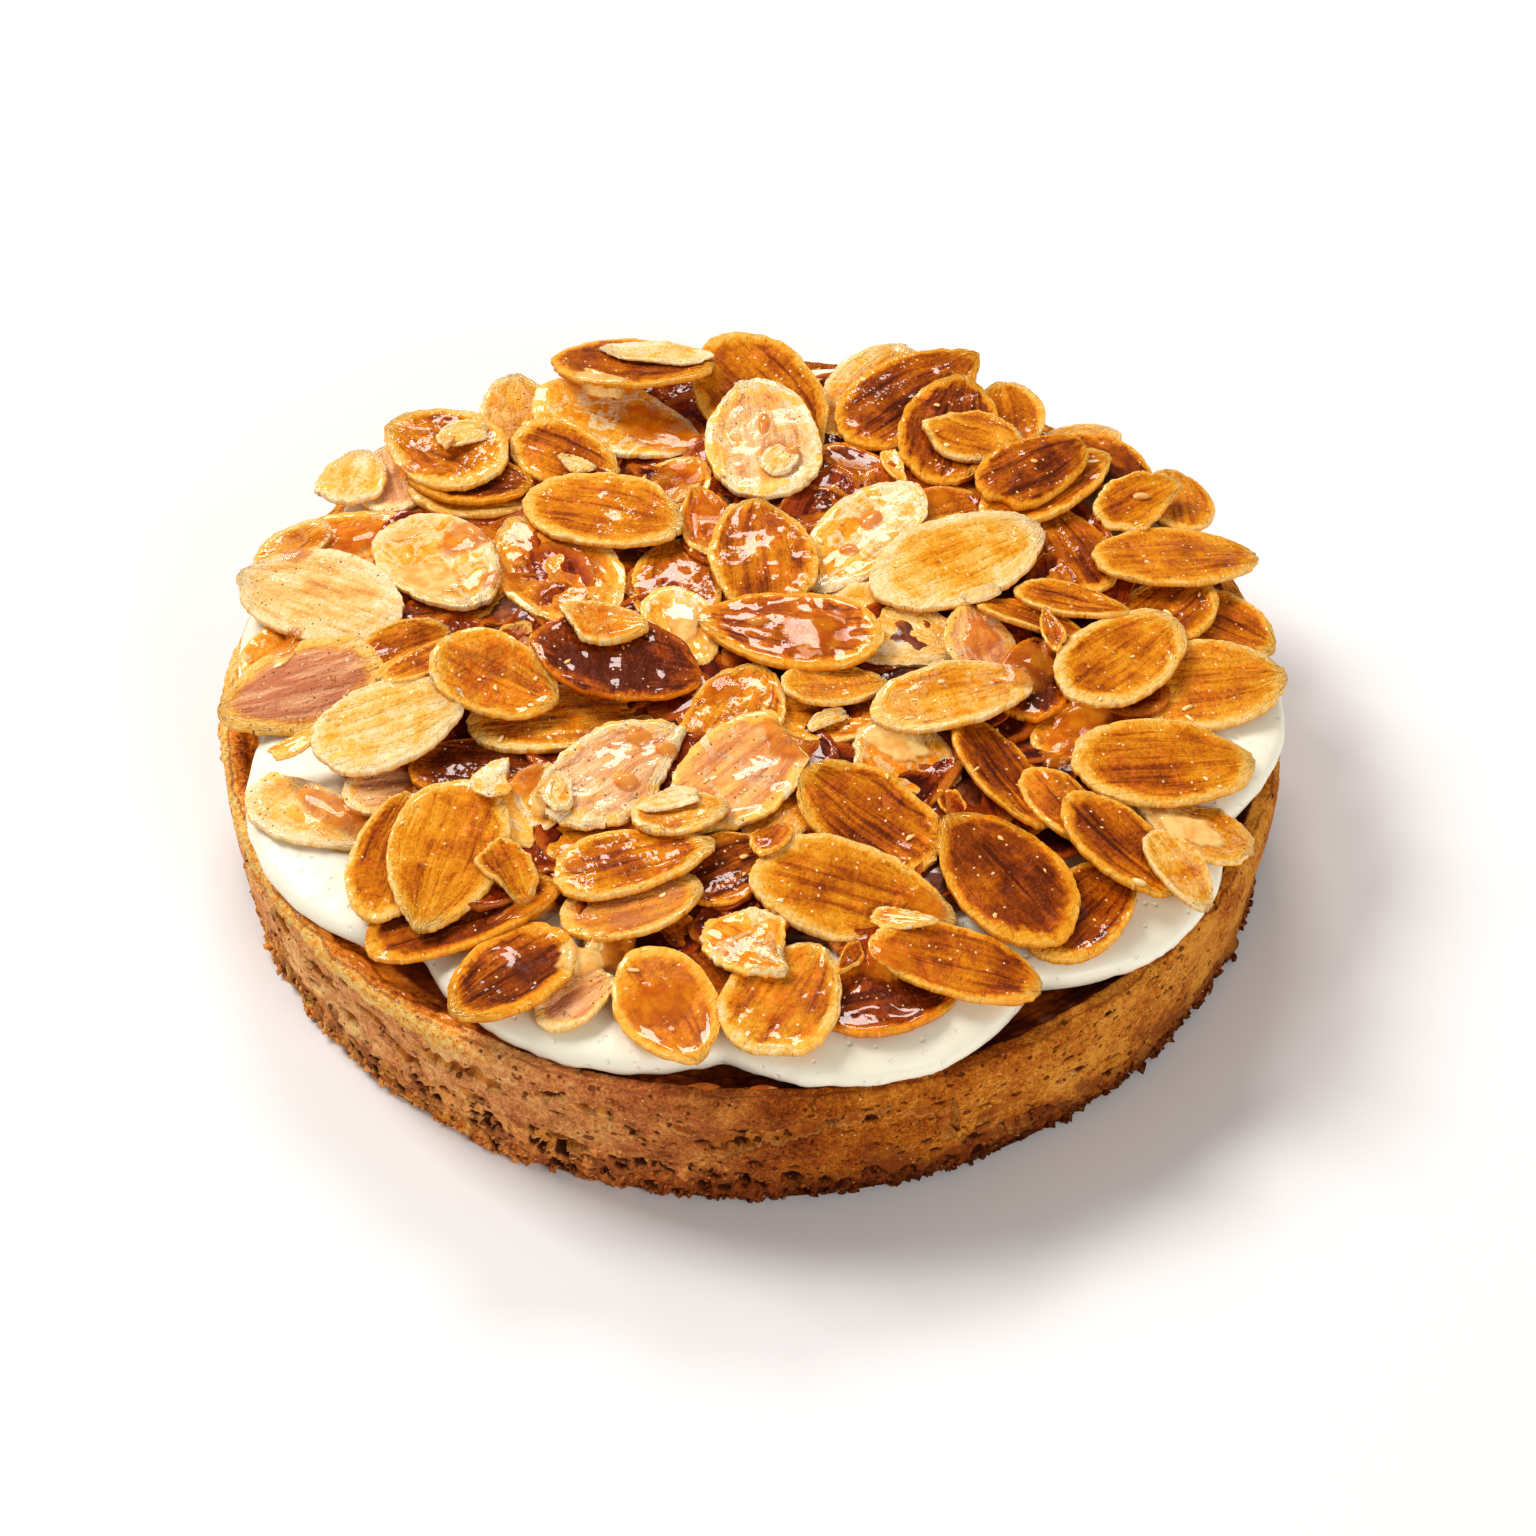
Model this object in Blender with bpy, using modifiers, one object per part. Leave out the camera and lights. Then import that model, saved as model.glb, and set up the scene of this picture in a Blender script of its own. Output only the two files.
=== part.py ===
"""Almond tart: a browned pastry case with its baked filling, a ring of piped cream and a heap of
sliced almonds on top. Metres, +Z up, origin at the middle of the underside."""

import math
from collections import namedtuple

import bmesh
import bpy
import numpy as np
from mathutils import Matrix, Vector, noise

MM = 0.001
GAP = 0.3 * MM  # kept between pieces that touch

# Pastry case
CASE_RADIUS = 60.0 * MM
CASE_HEIGHT = 17.5 * MM
WALL = 4.6 * MM
FLOOR = 4.0 * MM
FOOT_IN = 1.3 * MM  # how much narrower the base is than the rim
FOOT_HEIGHT = 5.0 * MM  # the crumbly band along the base
CRUMB_DEPTH = 0.9 * MM
RIM_WAVE = 0.35 * MM
TURN_STEPS = 80

# Baked filling
FILLING_TOP = 14.7 * MM

# Piped cream
CREAM_TOP = 21.6 * MM
CREAM_WIDEST = 18.4 * MM  # height at which a dollop bulges most
CREAM_UNDER = 3.6 * MM  # how far it rounds in below that
DOLLOP_RING = 39.0 * MM
DOLLOP_DEEP = 17.6 * MM  # half size towards the rim
DOLLOP_WIDE = 21.5 * MM  # half size along the rim
DOLLOP_PLUMP = 2.7  # 2 is an ellipsoid, more is fuller at the shoulders
CREAM_MIDDLE = 44.0 * MM
MIDDLE_LOWER = 0.8 * MM  # how far the flat middle stays below the tops of the dollops
TRIM = 1.0 * MM  # cut off below, to leave one flat underside
DOLLOP_DROPS = (0.0, 0.25, 0.1, 0.35)  # mm, so that the surfaces of neighbours never coincide
# Each dollop: direction from the middle in degrees, and its size against the nominal one
DOLLOPS = [
    (30, 1.00),
    (67, 0.98),
    (103, 1.01),
    (138, 0.97),
    (173, 1.02),
    (210, 1.01),
    (248, 0.95),
    (286, 1.00),
    (320, 1.03),
    (354, 1.05),
]

# Heap of sliced almonds
CORE_RADIUS = 44.0 * MM
CORE_EDGE = 1.3 * MM  # thickness of the core at its edge
CORE_RISE = 1.4 * MM  # how much higher its middle is
FLAKE_THICK = 1.15 * MM
FLAKE_SIDES = 10
SINK = 0.45 * MM  # how deep the lowest flakes are set into the core

# Each flake, the lowest first: middle x and y, length and width in mm, and the heading of its narrow
# end in degrees. Then, where the flake is propped up, how many degrees it leans: back (its far side
# is up) and right (its left side is up).
Flake = namedtuple("Flake", "x y length width heading back right", defaults=(None, None))
LOWEST = [
    Flake(-42.4, 31.5, 13, 8.5, 100),
    Flake(-28.0, 40.2, 13.5, 9, 95, 12, 0),
    Flake(-32.6, 27.4, 16, 9.5, -10),
    Flake(14.6, 43.6, 17.5, 10.5, 58, 12, 0),
    Flake(31.2, 41.2, 11, 8, 95, 10, 0),
    Flake(39.0, 36.5, 15, 9, 50),
    Flake(50.6, 28.2, 12.5, 8.5, 88),
    Flake(36.5, 17.0, 16, 10.5, 110),
    Flake(-8.5, 10.0, 16, 10.5, 95),
    Flake(-46.5, 20.0, 18, 10.5, 15),
    Flake(-53.0, 18.5, 11, 6.5, 50),
    Flake(-35.5, 8.0, 15, 9, 5),
    Flake(-53.6, 2.0, 8.6, 7, 40),
    Flake(-39.0, 0.5, 11, 7, 20),
    Flake(-27.5, 0.0, 10, 6, 70),
    Flake(15.2, 2.6, 18, 12, -25),
    Flake(8.6, -11.4, 12, 8, -5),
    Flake(-2.0, -11.5, 16, 11, 65),
    Flake(25.5, 0.0, 12, 8, 100),
    Flake(53.4, 6.0, 13.5, 10.5, -30),
    Flake(47.0, 6.5, 14, 10, 45),
    Flake(16.0, -17.5, 15, 10, -35),
    Flake(34.8, -37.2, 17, 9.5, 50),
    Flake(47.8, -25.7, 13, 9, -24),
    Flake(13.6, -50.0, 15, 9, 12),
    Flake(-18.2, -49.4, 9, 6, 35),
    Flake(-30.3, -38.2, 21.5, 8.5, 17),
    Flake(-47.0, -22.9, 17, 10, -32),
    Flake(-38.5, -21.0, 11, 8, 10),
    Flake(-29.0, -19.0, 16, 9, 0),
    Flake(4.0, -24.0, 15, 7, 60),
    Flake(-15.5, -29.5, 14, 7, -3),
    Flake(-2.5, -33.5, 11, 8.5, 30),
    Flake(-9.0, 28.0, 11, 8, 60),
    Flake(-5.5, 20.5, 12, 6.5, 100),
    Flake(5.5, 23.5, 13, 8, 8),
    Flake(12.5, 30.0, 12, 7.6, -36),
    Flake(23.0, 23.0, 12, 8, 20),
    Flake(36.0, -12.5, 13, 9, 40),
    Flake(31.0, -6.0, 13, 8, 80),
]
MIDDLE = [
    Flake(-47.3, 31.0, 11, 8.5, 80),
    Flake(-33.0, 28.5, 15, 9, -14),
    Flake(-15.8, 38.6, 21, 12.4, -20),
    Flake(1.4, 41.6, 19.5, 13.5, -48, 18, 0),
    Flake(19.2, 42.0, 21, 11, 38, 9, 0),
    Flake(42.2, 31.8, 14.5, 9.5, -50),
    Flake(34.6, 26.4, 19.5, 9, 38),
    Flake(45.5, 24.5, 12, 8, 35),
    Flake(24.0, 13.0, 22, 13, 30),
    Flake(-22.5, 13.0, 21.5, 13.3, 122),
    Flake(-36.5, -3.4, 12, 6, 38, -17, -13),
    Flake(-35.0, -5.8, 13, 6, 34, -17, -12),
    Flake(-20.5, -11.5, 22, 10.5, 8),
    Flake(-7.8, 2.0, 12, 8, -65),
    Flake(31.5, 3.6, 13, 6, -26, -19, 10),
    Flake(36.2, 6.8, 13, 6.6, -18, -14, 5),
    Flake(50.0, -4.9, 20, 12.3, 12),
    Flake(27.0, -20.4, 18.5, 8, -64, -9, 20),
    Flake(12.4, -26.8, 18, 11.8, 140),
    Flake(-7.2, -45.5, 16, 9.2, -48),
    Flake(-8.8, -51.4, 14.6, 9.6, -58),
    Flake(3.3, -50.5, 15, 11.5, 60),
    Flake(-38.0, -31.0, 16, 8.6, 78),
    Flake(-23.5, -24.5, 11, 6.4, 70),
    Flake(-12.7, -38.5, 15, 10.5, 10),
    Flake(33.2, -25.2, 12.5, 7.5, -60),
]
UPPER = [
    Flake(-36.0, 32.6, 15.5, 12.4, 150, 4, 0),
    Flake(-22.1, 32.0, 14, 8.2, -28),
    Flake(-14.2, 45.0, 20, 11, -5, -12, 0),
    Flake(12.6, 17.5, 21, 10.2, 234),
    Flake(1.2, 13.5, 18, 12, 95),
    Flake(-17.0, 21.5, 20, 12, -22),
    Flake(-36.0, 14.4, 19.5, 12.6, -55),
    Flake(-49.5, 8.7, 21, 12.8, 152),
    Flake(-50.2, -5.0, 19, 11.8, 194),
    Flake(-28.0, -9.0, 14, 11, -20),
    Flake(9.0, -7.6, 12, 7, 8),
    Flake(21.8, -10.2, 18.8, 9.6, 20),
    Flake(49.0, 15.6, 20.2, 11.6, 13),
    Flake(41.0, -3.0, 19, 11, 46),
    Flake(38.9, -30.8, 15.6, 9.3, -48),
    Flake(44.7, -17.6, 20.6, 12, 10),
    Flake(10.4, -37.2, 21.8, 11.2, -14),
    Flake(21.0, -46.0, 18, 9.3, -12),
    Flake(-25.0, -46.5, 15, 10.7, 215),
    Flake(-12.8, -33.3, 17, 9, 12),
    Flake(-14.7, -20.5, 19.5, 11.8, 42),
    Flake(-1.2, -20.7, 19, 11.8, 45),
    Flake(-7.7, -27.2, 10.5, 6.4, 8),
]
TOPMOST = [
    Flake(1.2, 33.4, 18.5, 13, 95, 9, 0),
    Flake(23.6, 35.4, 17, 11.6, 75, 9, 0),
    Flake(26.6, 33.4, 13.5, 8, -24),
    Flake(33.2, 27.6, 15.5, 8.6, 34),
    Flake(-15.0, -5.0, 19, 12, -3),
    Flake(-16.5, -1.2, 10.5, 6, 3),
    Flake(4.4, 0.3, 20.5, 12, 172),
    Flake(-39.4, -14.5, 16.8, 10.6, 14),
    Flake(-32.3, -31.6, 19.4, 11.8, 255),
    Flake(-26.0, -34.2, 9, 6, -60),
    Flake(26.3, -34.7, 19.2, 12.5, 125),
    Flake(44.8, -33.6, 11, 5.8, -62),
    Flake(-0.2, -44.2, 11.5, 8.6, -40),
]
FLAKES = LOWEST + MIDDLE + UPPER + TOPMOST

# How a flake comes to rest
CELL = 0.75 * MM  # spacing of the points at which flakes feel what is below them
PROP_STIFF = 0.01  # resists the tilt of a free flake, in metres of lever
PROP_HELD = 0.5  # the same for a flake with a stated lean
CONTACT_STIFF = 2.0 / MM
SETTLE_STEPS = 40
STEEPEST = math.tan(math.radians(15))  # slope at which a neighbour stops a free flake from tipping


def clear_scene():
    for obj in list(bpy.data.objects):
        bpy.data.objects.remove(obj)


def new_collection(name):
    collection = bpy.data.collections.new(name)
    bpy.context.scene.collection.children.link(collection)
    return collection


def material(name, colour, roughness):
    mat = bpy.data.materials.new(name)
    mat.use_nodes = True
    shader = mat.node_tree.nodes["Principled BSDF"]
    shader.inputs["Base Color"].default_value = (*colour, 1.0)
    shader.inputs["Roughness"].default_value = roughness
    shader.inputs["Metallic"].default_value = 0.0
    return mat


def add_object(name, mesh, collection, mat=None):
    obj = bpy.data.objects.new(name, mesh)
    collection.objects.link(obj)
    if mat:
        mesh.materials.append(mat)
    return obj


def mesh_from(name, bm):
    bmesh.ops.recalc_face_normals(bm, faces=bm.faces)
    mesh = bpy.data.meshes.new(name)
    bm.to_mesh(mesh)
    bm.free()
    return mesh


def bake_modifiers(obj):
    """Makes what the modifiers show the object's own mesh."""
    graph = bpy.context.evaluated_depsgraph_get()
    baked = bpy.data.meshes.new_from_object(obj.evaluated_get(graph))
    obj.modifiers.clear()
    obj.data = baked


def turned(name, profile, collection, mat):
    """A solid turned about Z. The profile runs down its outer side, in (radius, height) pairs."""
    bm = bmesh.new()
    points = [bm.verts.new((radius, 0.0, height)) for radius, height in profile]
    for start, end in zip(points, points[1:]):
        bm.edges.new((start, end))
    mesh = bpy.data.meshes.new(name)
    bm.to_mesh(mesh)
    bm.free()
    obj = add_object(name, mesh, collection, mat)
    screw = obj.modifiers.new("turn", "SCREW")
    screw.steps = screw.render_steps = TURN_STEPS
    screw.use_merge_vertices = True
    screw.merge_threshold = 0.01 * MM
    bake_modifiers(obj)
    return obj


def ease(value, low, high):
    t = min(max((value - low) / (high - low), 0.0), 1.0)
    return t * t * (3.0 - 2.0 * t)


def roughen_case(case):
    """Crumbs and small breaks round the foot, and a rim that is not quite level or round."""
    for vert in case.data.vertices:
        radius = math.hypot(vert.co.x, vert.co.y)
        if radius < CASE_RADIUS - WALL:
            continue
        outward = Vector((vert.co.x, vert.co.y, 0.0)).normalized()
        outside = ease(radius, CASE_RADIUS - 0.6 * WALL, CASE_RADIUS - 0.35 * WALL)
        foot = 1.0 - ease(vert.co.z, 0.4 * FOOT_HEIGHT, FOOT_HEIGHT)
        coarse = noise.noise(outward * 6.0 + Vector((0, 0, vert.co.z / (4 * MM))))
        fine = noise.noise(outward * 24.0 + Vector((3, 7, vert.co.z / (2 * MM))))
        bump = 0.25 * coarse + foot * (fine - 0.2) * 1.4
        height = ease(vert.co.z, FOOT_HEIGHT, CASE_HEIGHT)
        vert.co += outward * bump * CRUMB_DEPTH * outside
        vert.co.z += RIM_WAVE * height * noise.noise(outward * 3.5)


def build_case(collection, mat):
    rim = CASE_RADIUS
    top = CASE_HEIGHT
    foot = rim - FOOT_IN
    inside = rim - WALL
    profile = [
        (0.0, FLOOR),
        (0.5 * inside, FLOOR),
        (inside - 1.5 * MM, FLOOR),
        (inside - 0.2 * MM, FLOOR + 1.2 * MM),
        (inside, FILLING_TOP - 1.5 * MM),
        (inside + 0.4 * MM, FILLING_TOP + 0.2 * MM),
        (inside + 1.2 * MM, top - 1.3 * MM),
        (inside + 2.2 * MM, top - 0.4 * MM),
        (inside + 3.2 * MM, top),
        (rim - 0.6 * MM, top - 0.4 * MM),
        (rim - 0.1 * MM, top - 1.5 * MM),
        (rim - 0.1 * MM, top - 3.0 * MM),
        (rim - 0.5 * MM, 10.5 * MM),
        (rim - 0.7 * MM, 7.5 * MM),
        (foot + 0.4 * MM, FOOT_HEIGHT),
        (foot + 0.3 * MM, 3.4 * MM),
        (foot + 0.1 * MM, 1.7 * MM),
        (foot - 0.5 * MM, 0.0),
        (0.5 * foot, 0.0),
        (0.0, 0.0),
    ]
    case = turned("pastry_case", profile, collection, mat)
    roughen_case(case)
    return case


def build_filling(collection, mat):
    edge = CASE_RADIUS - WALL - GAP
    profile = [
        (0.0, FILLING_TOP),
        (0.5 * edge, FILLING_TOP),
        (edge - 0.9 * MM, FILLING_TOP - 0.1 * MM),
        (edge - 0.2 * MM, FILLING_TOP - 0.8 * MM),
        (edge - 0.2 * MM, FLOOR + 1.8 * MM),
        (edge - 1.9 * MM, FLOOR + GAP),
        (0.5 * edge, FLOOR + GAP),
        (0.0, FLOOR + GAP),
    ]
    return turned("baked_filling", profile, collection, mat)


def plump_sphere(segments, rings):
    """A unit ball, filled out towards its shoulders."""
    bm = bmesh.new()
    bmesh.ops.create_uvsphere(bm, u_segments=segments, v_segments=rings, radius=1.0)
    for vert in bm.verts:
        across = math.hypot(vert.co.x, vert.co.y)
        full = across**DOLLOP_PLUMP + abs(vert.co.z) ** DOLLOP_PLUMP
        vert.co /= full ** (1.0 / DOLLOP_PLUMP)
    return bm


def dollop_shapes():
    """For each dollop, its direction, the distance of its middle, and its two half sizes."""
    shapes = []
    for degrees, size in DOLLOPS:
        shapes.append((math.radians(degrees), DOLLOP_RING, DOLLOP_DEEP * size, DOLLOP_WIDE))
    return shapes


def build_cream(collection, mat):
    """Dollops piped side by side round a flat middle, all run together."""
    bottom = FILLING_TOP + GAP
    low = bottom - TRIM
    high = CREAM_TOP - MIDDLE_LOWER
    joined = bpy.data.collections.new("dollops")
    for index, (turn, out, deep, wide) in enumerate(dollop_shapes()):
        bm = plump_sphere(24, 12)
        for vert in bm.verts:
            vert.co.z *= CREAM_TOP - CREAM_WIDEST if vert.co.z > 0 else CREAM_UNDER
        height = CREAM_WIDEST - DOLLOP_DROPS[index % len(DOLLOP_DROPS)] * MM
        bmesh.ops.transform(
            bm,
            verts=bm.verts,
            matrix=Matrix.Translation((0, 0, height))
            @ Matrix.Rotation(turn, 4, "Z")
            @ Matrix.Translation((out, 0, 0))
            @ Matrix.Diagonal((deep, wide, 1.0, 1.0)),
        )
        joined.objects.link(bpy.data.objects.new("dollop", mesh_from("dollop", bm)))
    bm = bmesh.new()
    bmesh.ops.create_cone(
        bm,
        cap_ends=True,
        segments=40,
        radius1=CREAM_MIDDLE,
        radius2=CREAM_MIDDLE,
        depth=high - low,
        matrix=Matrix.Translation((0, 0, 0.5 * (high + low))),
    )
    cream = add_object("whipped_cream", mesh_from("whipped_cream", bm), collection, mat)
    fuse(cream, joined)
    bm = bmesh.new()
    bm.from_mesh(cream.data)
    everything = bm.verts[:] + bm.edges[:] + bm.faces[:]
    cut = bmesh.ops.bisect_plane(
        bm, geom=everything, plane_co=(0, 0, bottom), plane_no=(0, 0, -1), clear_outer=True
    )
    rim = [item for item in cut["geom_cut"] if isinstance(item, bmesh.types.BMEdge)]
    bmesh.ops.edgeloop_fill(bm, edges=rim)
    bmesh.ops.triangulate(bm, faces=bm.faces)
    bm.to_mesh(cream.data)
    bm.free()
    return cream


def fuse(base, collection):
    """Joins the collection's objects to the base with one Boolean union, and removes them."""
    bpy.context.scene.collection.children.link(collection)
    union = base.modifiers.new("fuse", "BOOLEAN")
    union.operation = "UNION"
    union.operand_type = "COLLECTION"
    union.collection = collection
    union.solver = "EXACT"
    bake_modifiers(base)
    for obj in list(collection.objects):
        bpy.data.objects.remove(obj)
    bpy.data.collections.remove(collection)
    keep_outer_skin(base.data)


def keep_outer_skin(mesh):
    """Drops sealed hollows and loose scraps: only the largest closed skin stays."""
    bm = bmesh.new()
    bm.from_mesh(mesh)
    bmesh.ops.triangulate(bm, faces=bm.faces)
    left = set(bm.faces)
    skins = []
    while left:
        skin = [left.pop()]
        for face in skin:
            for edge in face.edges:
                for other in edge.link_faces:
                    if other in left:
                        left.remove(other)
                        skin.append(other)
        skins.append(skin)
    skins.sort(key=len)
    for skin in skins[:-1]:
        bmesh.ops.delete(bm, geom=skin, context="FACES")
    bm.to_mesh(mesh)
    bm.free()


def ground_grid():
    """Heights on a square grid: what a flake must stay above, and what it first comes to lie on."""
    reach = CASE_RADIUS + 6 * MM
    ticks = np.arange(-reach, reach + CELL, CELL)
    x, y = np.meshgrid(ticks, ticks, indexing="ij")
    half = CREAM_TOP - CREAM_WIDEST
    cream = np.full(x.shape, CASE_HEIGHT)
    for turn, out, deep, wide in dollop_shapes():
        along = (x * math.cos(turn) + y * math.sin(turn) - out) / deep
        beside = (y * math.cos(turn) - x * math.sin(turn)) / wide
        across = np.minimum(np.hypot(along, beside), 1.0)
        rise = (1.0 - across**DOLLOP_PLUMP) ** (1.0 / DOLLOP_PLUMP)
        cream = np.maximum(cream, CREAM_WIDEST + half * rise)
    clear = cream + 1.6 * GAP
    radius = np.hypot(x, y)
    lying = np.where(radius < CORE_RADIUS - 1.5 * MM, core_top(radius) - SINK, clear)
    return x, y, clear, np.maximum(lying, clear)


def core_top(radius):
    bulge = np.clip(1.0 - (radius / CORE_RADIUS) ** 2, 0.0, 1.0)
    return CREAM_TOP + GAP + CORE_EDGE + CORE_RISE * bulge


def settle(flake, x, y, clear, ground):
    """Lays a flake down: (height, slope along x, slope along y) of its underside. It sinks until the
    push of what it touches carries it, and raises the ground for the next flake."""
    heading = math.radians(flake.heading)
    dx = x - flake.x * MM
    dy = y - flake.y * MM
    along = (dx * math.cos(heading) + dy * math.sin(heading)) / (0.5 * flake.length * MM)
    beside = (dy * math.cos(heading) - dx * math.sin(heading)) / (0.5 * flake.width * MM)
    reach = along**2 + beside**2
    under = reach < 0.92
    over = np.stack((np.ones_like(x), dx, dy))[:, reach < 1.25]
    floor = clear[reach < 1.25]
    dx, dy, support = dx[under], dy[under], ground[under]
    held = flake.back is not None
    wanted = np.array((0.0, 0.0, 0.0))
    if held:
        wanted[1:] = -math.tan(math.radians(flake.right)), math.tan(math.radians(flake.back))
    prop = PROP_HELD if held else PROP_STIFF
    basis = np.stack((np.ones_like(dx), dx, dy))
    plane = wanted.copy()
    plane[0] = (support - wanted[1:] @ basis[1:]).max()
    for _ in range(SETTLE_STEPS):
        deep = support - plane @ basis
        touching = deep > 0
        pushed = basis[:, touching]
        force = CONTACT_STIFF * pushed @ deep[touching] - np.array((1.0, 0.0, 0.0))
        force[1:] -= prop * (plane[1:] - wanted[1:])
        stiffness = CONTACT_STIFF * pushed @ pushed.T + np.diag((0.2 / MM, prop, prop))
        plane = plane + np.linalg.solve(stiffness, force)
        slope = math.hypot(plane[1], plane[2])
        if not held and slope > STEEPEST:
            plane[1:] *= STEEPEST / slope
    plane[0] += max(0.0, (floor - plane @ over).max())
    top = plane @ basis + FLAKE_THICK
    ground[under] = np.maximum(ground[under], top)
    return plane


def flake_solid(flake, plane):
    """A thin oval plate with one narrower end and a slightly smaller top."""
    bm = bmesh.new()
    bmesh.ops.create_cone(
        bm, cap_ends=True, segments=FLAKE_SIDES, radius1=1.0, radius2=0.9, depth=1.0
    )
    heading = math.radians(flake.heading)
    for vert in bm.verts:
        along = 0.5 * flake.length * MM * vert.co.x
        beside = 0.5 * flake.width * MM * vert.co.y * (1.0 - 0.2 * vert.co.x)
        dx = along * math.cos(heading) - beside * math.sin(heading)
        dy = along * math.sin(heading) + beside * math.cos(heading)
        rise = plane[0] + plane[1] * dx + plane[2] * dy
        vert.co = (flake.x * MM + dx, flake.y * MM + dy, rise + FLAKE_THICK * (vert.co.z + 0.5))
    return mesh_from("flake", bm)


def build_flakes(collection, mat):
    """The heap: a low domed core with the flakes that show fused to it."""
    x, y, clear, ground = ground_grid()
    joined = bpy.data.collections.new("flakes")
    for flake in FLAKES:
        plane = settle(flake, x, y, clear, ground)
        joined.objects.link(bpy.data.objects.new("flake", flake_solid(flake, plane)))
    bottom = CREAM_TOP + GAP
    bm = bmesh.new()
    bmesh.ops.create_uvsphere(bm, u_segments=40, v_segments=16, radius=1.0)
    for vert in bm.verts:
        across = math.hypot(vert.co.x, vert.co.y)
        outward = CORE_RADIUS * (1.0 + 0.03 * noise.noise(vert.co * 3.0))
        vert.co.x *= outward
        vert.co.y *= outward
        height = float(core_top(across * CORE_RADIUS))
        vert.co.z = height if vert.co.z > 0.01 else bottom
    core = add_object("almond_flakes", mesh_from("almond_flakes", bm), collection, mat)
    fuse(core, joined)
    return core


def main():
    clear_scene()
    tart = new_collection("almond_tart")
    build_case(tart, material("browned_pastry", (0.50, 0.25, 0.09), 0.75))
    build_filling(tart, material("baked_filling", (0.42, 0.17, 0.04), 0.4))
    build_cream(tart, material("whipped_cream", (0.90, 0.87, 0.78), 0.45))
    build_flakes(tart, material("toasted_almond", (0.70, 0.38, 0.10), 0.35))


main()
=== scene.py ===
import itertools
import math

import bmesh
import bpy
import numpy as np
from mathutils import Matrix, Vector
from mathutils.bvhtree import BVHTree


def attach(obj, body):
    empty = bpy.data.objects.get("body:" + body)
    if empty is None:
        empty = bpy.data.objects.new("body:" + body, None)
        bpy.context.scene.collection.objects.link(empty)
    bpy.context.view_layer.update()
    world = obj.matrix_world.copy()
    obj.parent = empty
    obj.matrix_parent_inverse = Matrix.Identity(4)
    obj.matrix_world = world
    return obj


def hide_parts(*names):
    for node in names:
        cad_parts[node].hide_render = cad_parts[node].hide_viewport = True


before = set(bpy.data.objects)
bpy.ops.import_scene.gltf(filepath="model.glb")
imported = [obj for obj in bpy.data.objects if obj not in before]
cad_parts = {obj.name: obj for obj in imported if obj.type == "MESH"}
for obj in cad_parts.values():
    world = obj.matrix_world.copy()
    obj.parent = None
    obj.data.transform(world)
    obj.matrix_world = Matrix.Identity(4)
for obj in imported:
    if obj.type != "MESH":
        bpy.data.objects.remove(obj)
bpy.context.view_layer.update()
mm = 0.001  # shapes below are worked out in millimetres and made metres at the end


def scatter(cell, seed):  # a repeatable number from 0 to 1 for each whole-number cell
    mixed = cell[..., 0] * 73856093 ^ cell[..., 1] * 19349663 ^ cell[..., 2] * 83492791
    mixed = (mixed ^ seed * 2654435) & 0xFFFFFFFF
    mixed = ((mixed ^ mixed >> 15) * 2246822519) & 0xFFFFFFFF
    mixed = ((mixed ^ mixed >> 13) * 3266489917) & 0xFFFFFFFF
    return (mixed ^ mixed >> 16) % 65536 / 65535


def lumps(points, size, seed=0):  # smooth noise from -1 to 1, with lumps of about that size
    scaled = points / np.asarray(size, float)
    cell = np.floor(scaled).astype(np.int64)
    part = scaled - cell
    part = part * part * (3 - 2 * part)
    total = np.zeros(len(points))
    for corner in itertools.product((0, 1), repeat=3):
        share = np.where(corner, part, 1 - part).prod(axis=1)
        total += share * scatter(cell + corner, seed)
    return 2 * total - 1


def layered(points, size, seed=0, layers=3):  # the same, with finer lumps on top
    total = np.zeros(len(points))
    for layer in range(layers):
        total += lumps(points, np.asarray(size, float) / 2**layer, seed + layer) / 2**layer
    return total / (2 - 0.5 ** (layers - 1))


def pebbles(points, size, seed=0):  # distance to the nearest scattered spot, and that spot's number
    scaled = points / np.asarray(size, float)
    cell = np.floor(scaled).astype(np.int64)
    nearest = np.full(len(points), 9.0)
    number = np.zeros(len(points))
    for step in itertools.product((-1, 0, 1), repeat=3):
        near = cell + step
        spot = near + np.stack([scatter(near, seed + axis) for axis in range(3)], 1)
        gap = np.linalg.norm(scaled - spot, axis=1)
        closer = gap < nearest
        nearest[closer] = gap[closer]
        number[closer] = scatter(near, seed + 3)[closer]
    return nearest, number


def ease(value, low, high):
    part = np.clip((value - low) / (high - low), 0.0, 1.0)
    return part * part * (3.0 - 2.0 * part)


def smoothLine(corners, gaps):  # points on a smooth curve through the corners, about a gap apart
    corners = np.array(corners, float)
    before = np.vstack((2 * corners[0] - corners[1], corners, 2 * corners[-1] - corners[-2]))
    line = []
    for index, gap in enumerate(gaps):
        p0, p1, p2, p3 = before[index:index + 4]
        count = max(1, round(np.linalg.norm(p2 - p1) / gap))
        for t in np.arange(count) / count:
            bend = 2 * p1 + (p2 - p0) * t + (2 * p0 - 5 * p1 + 4 * p2 - p3) * t**2
            line.append(0.5 * (bend + (3 * p1 - p0 - 3 * p2 + p3) * t**3))
    return np.array(line + [corners[-1]])


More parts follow.
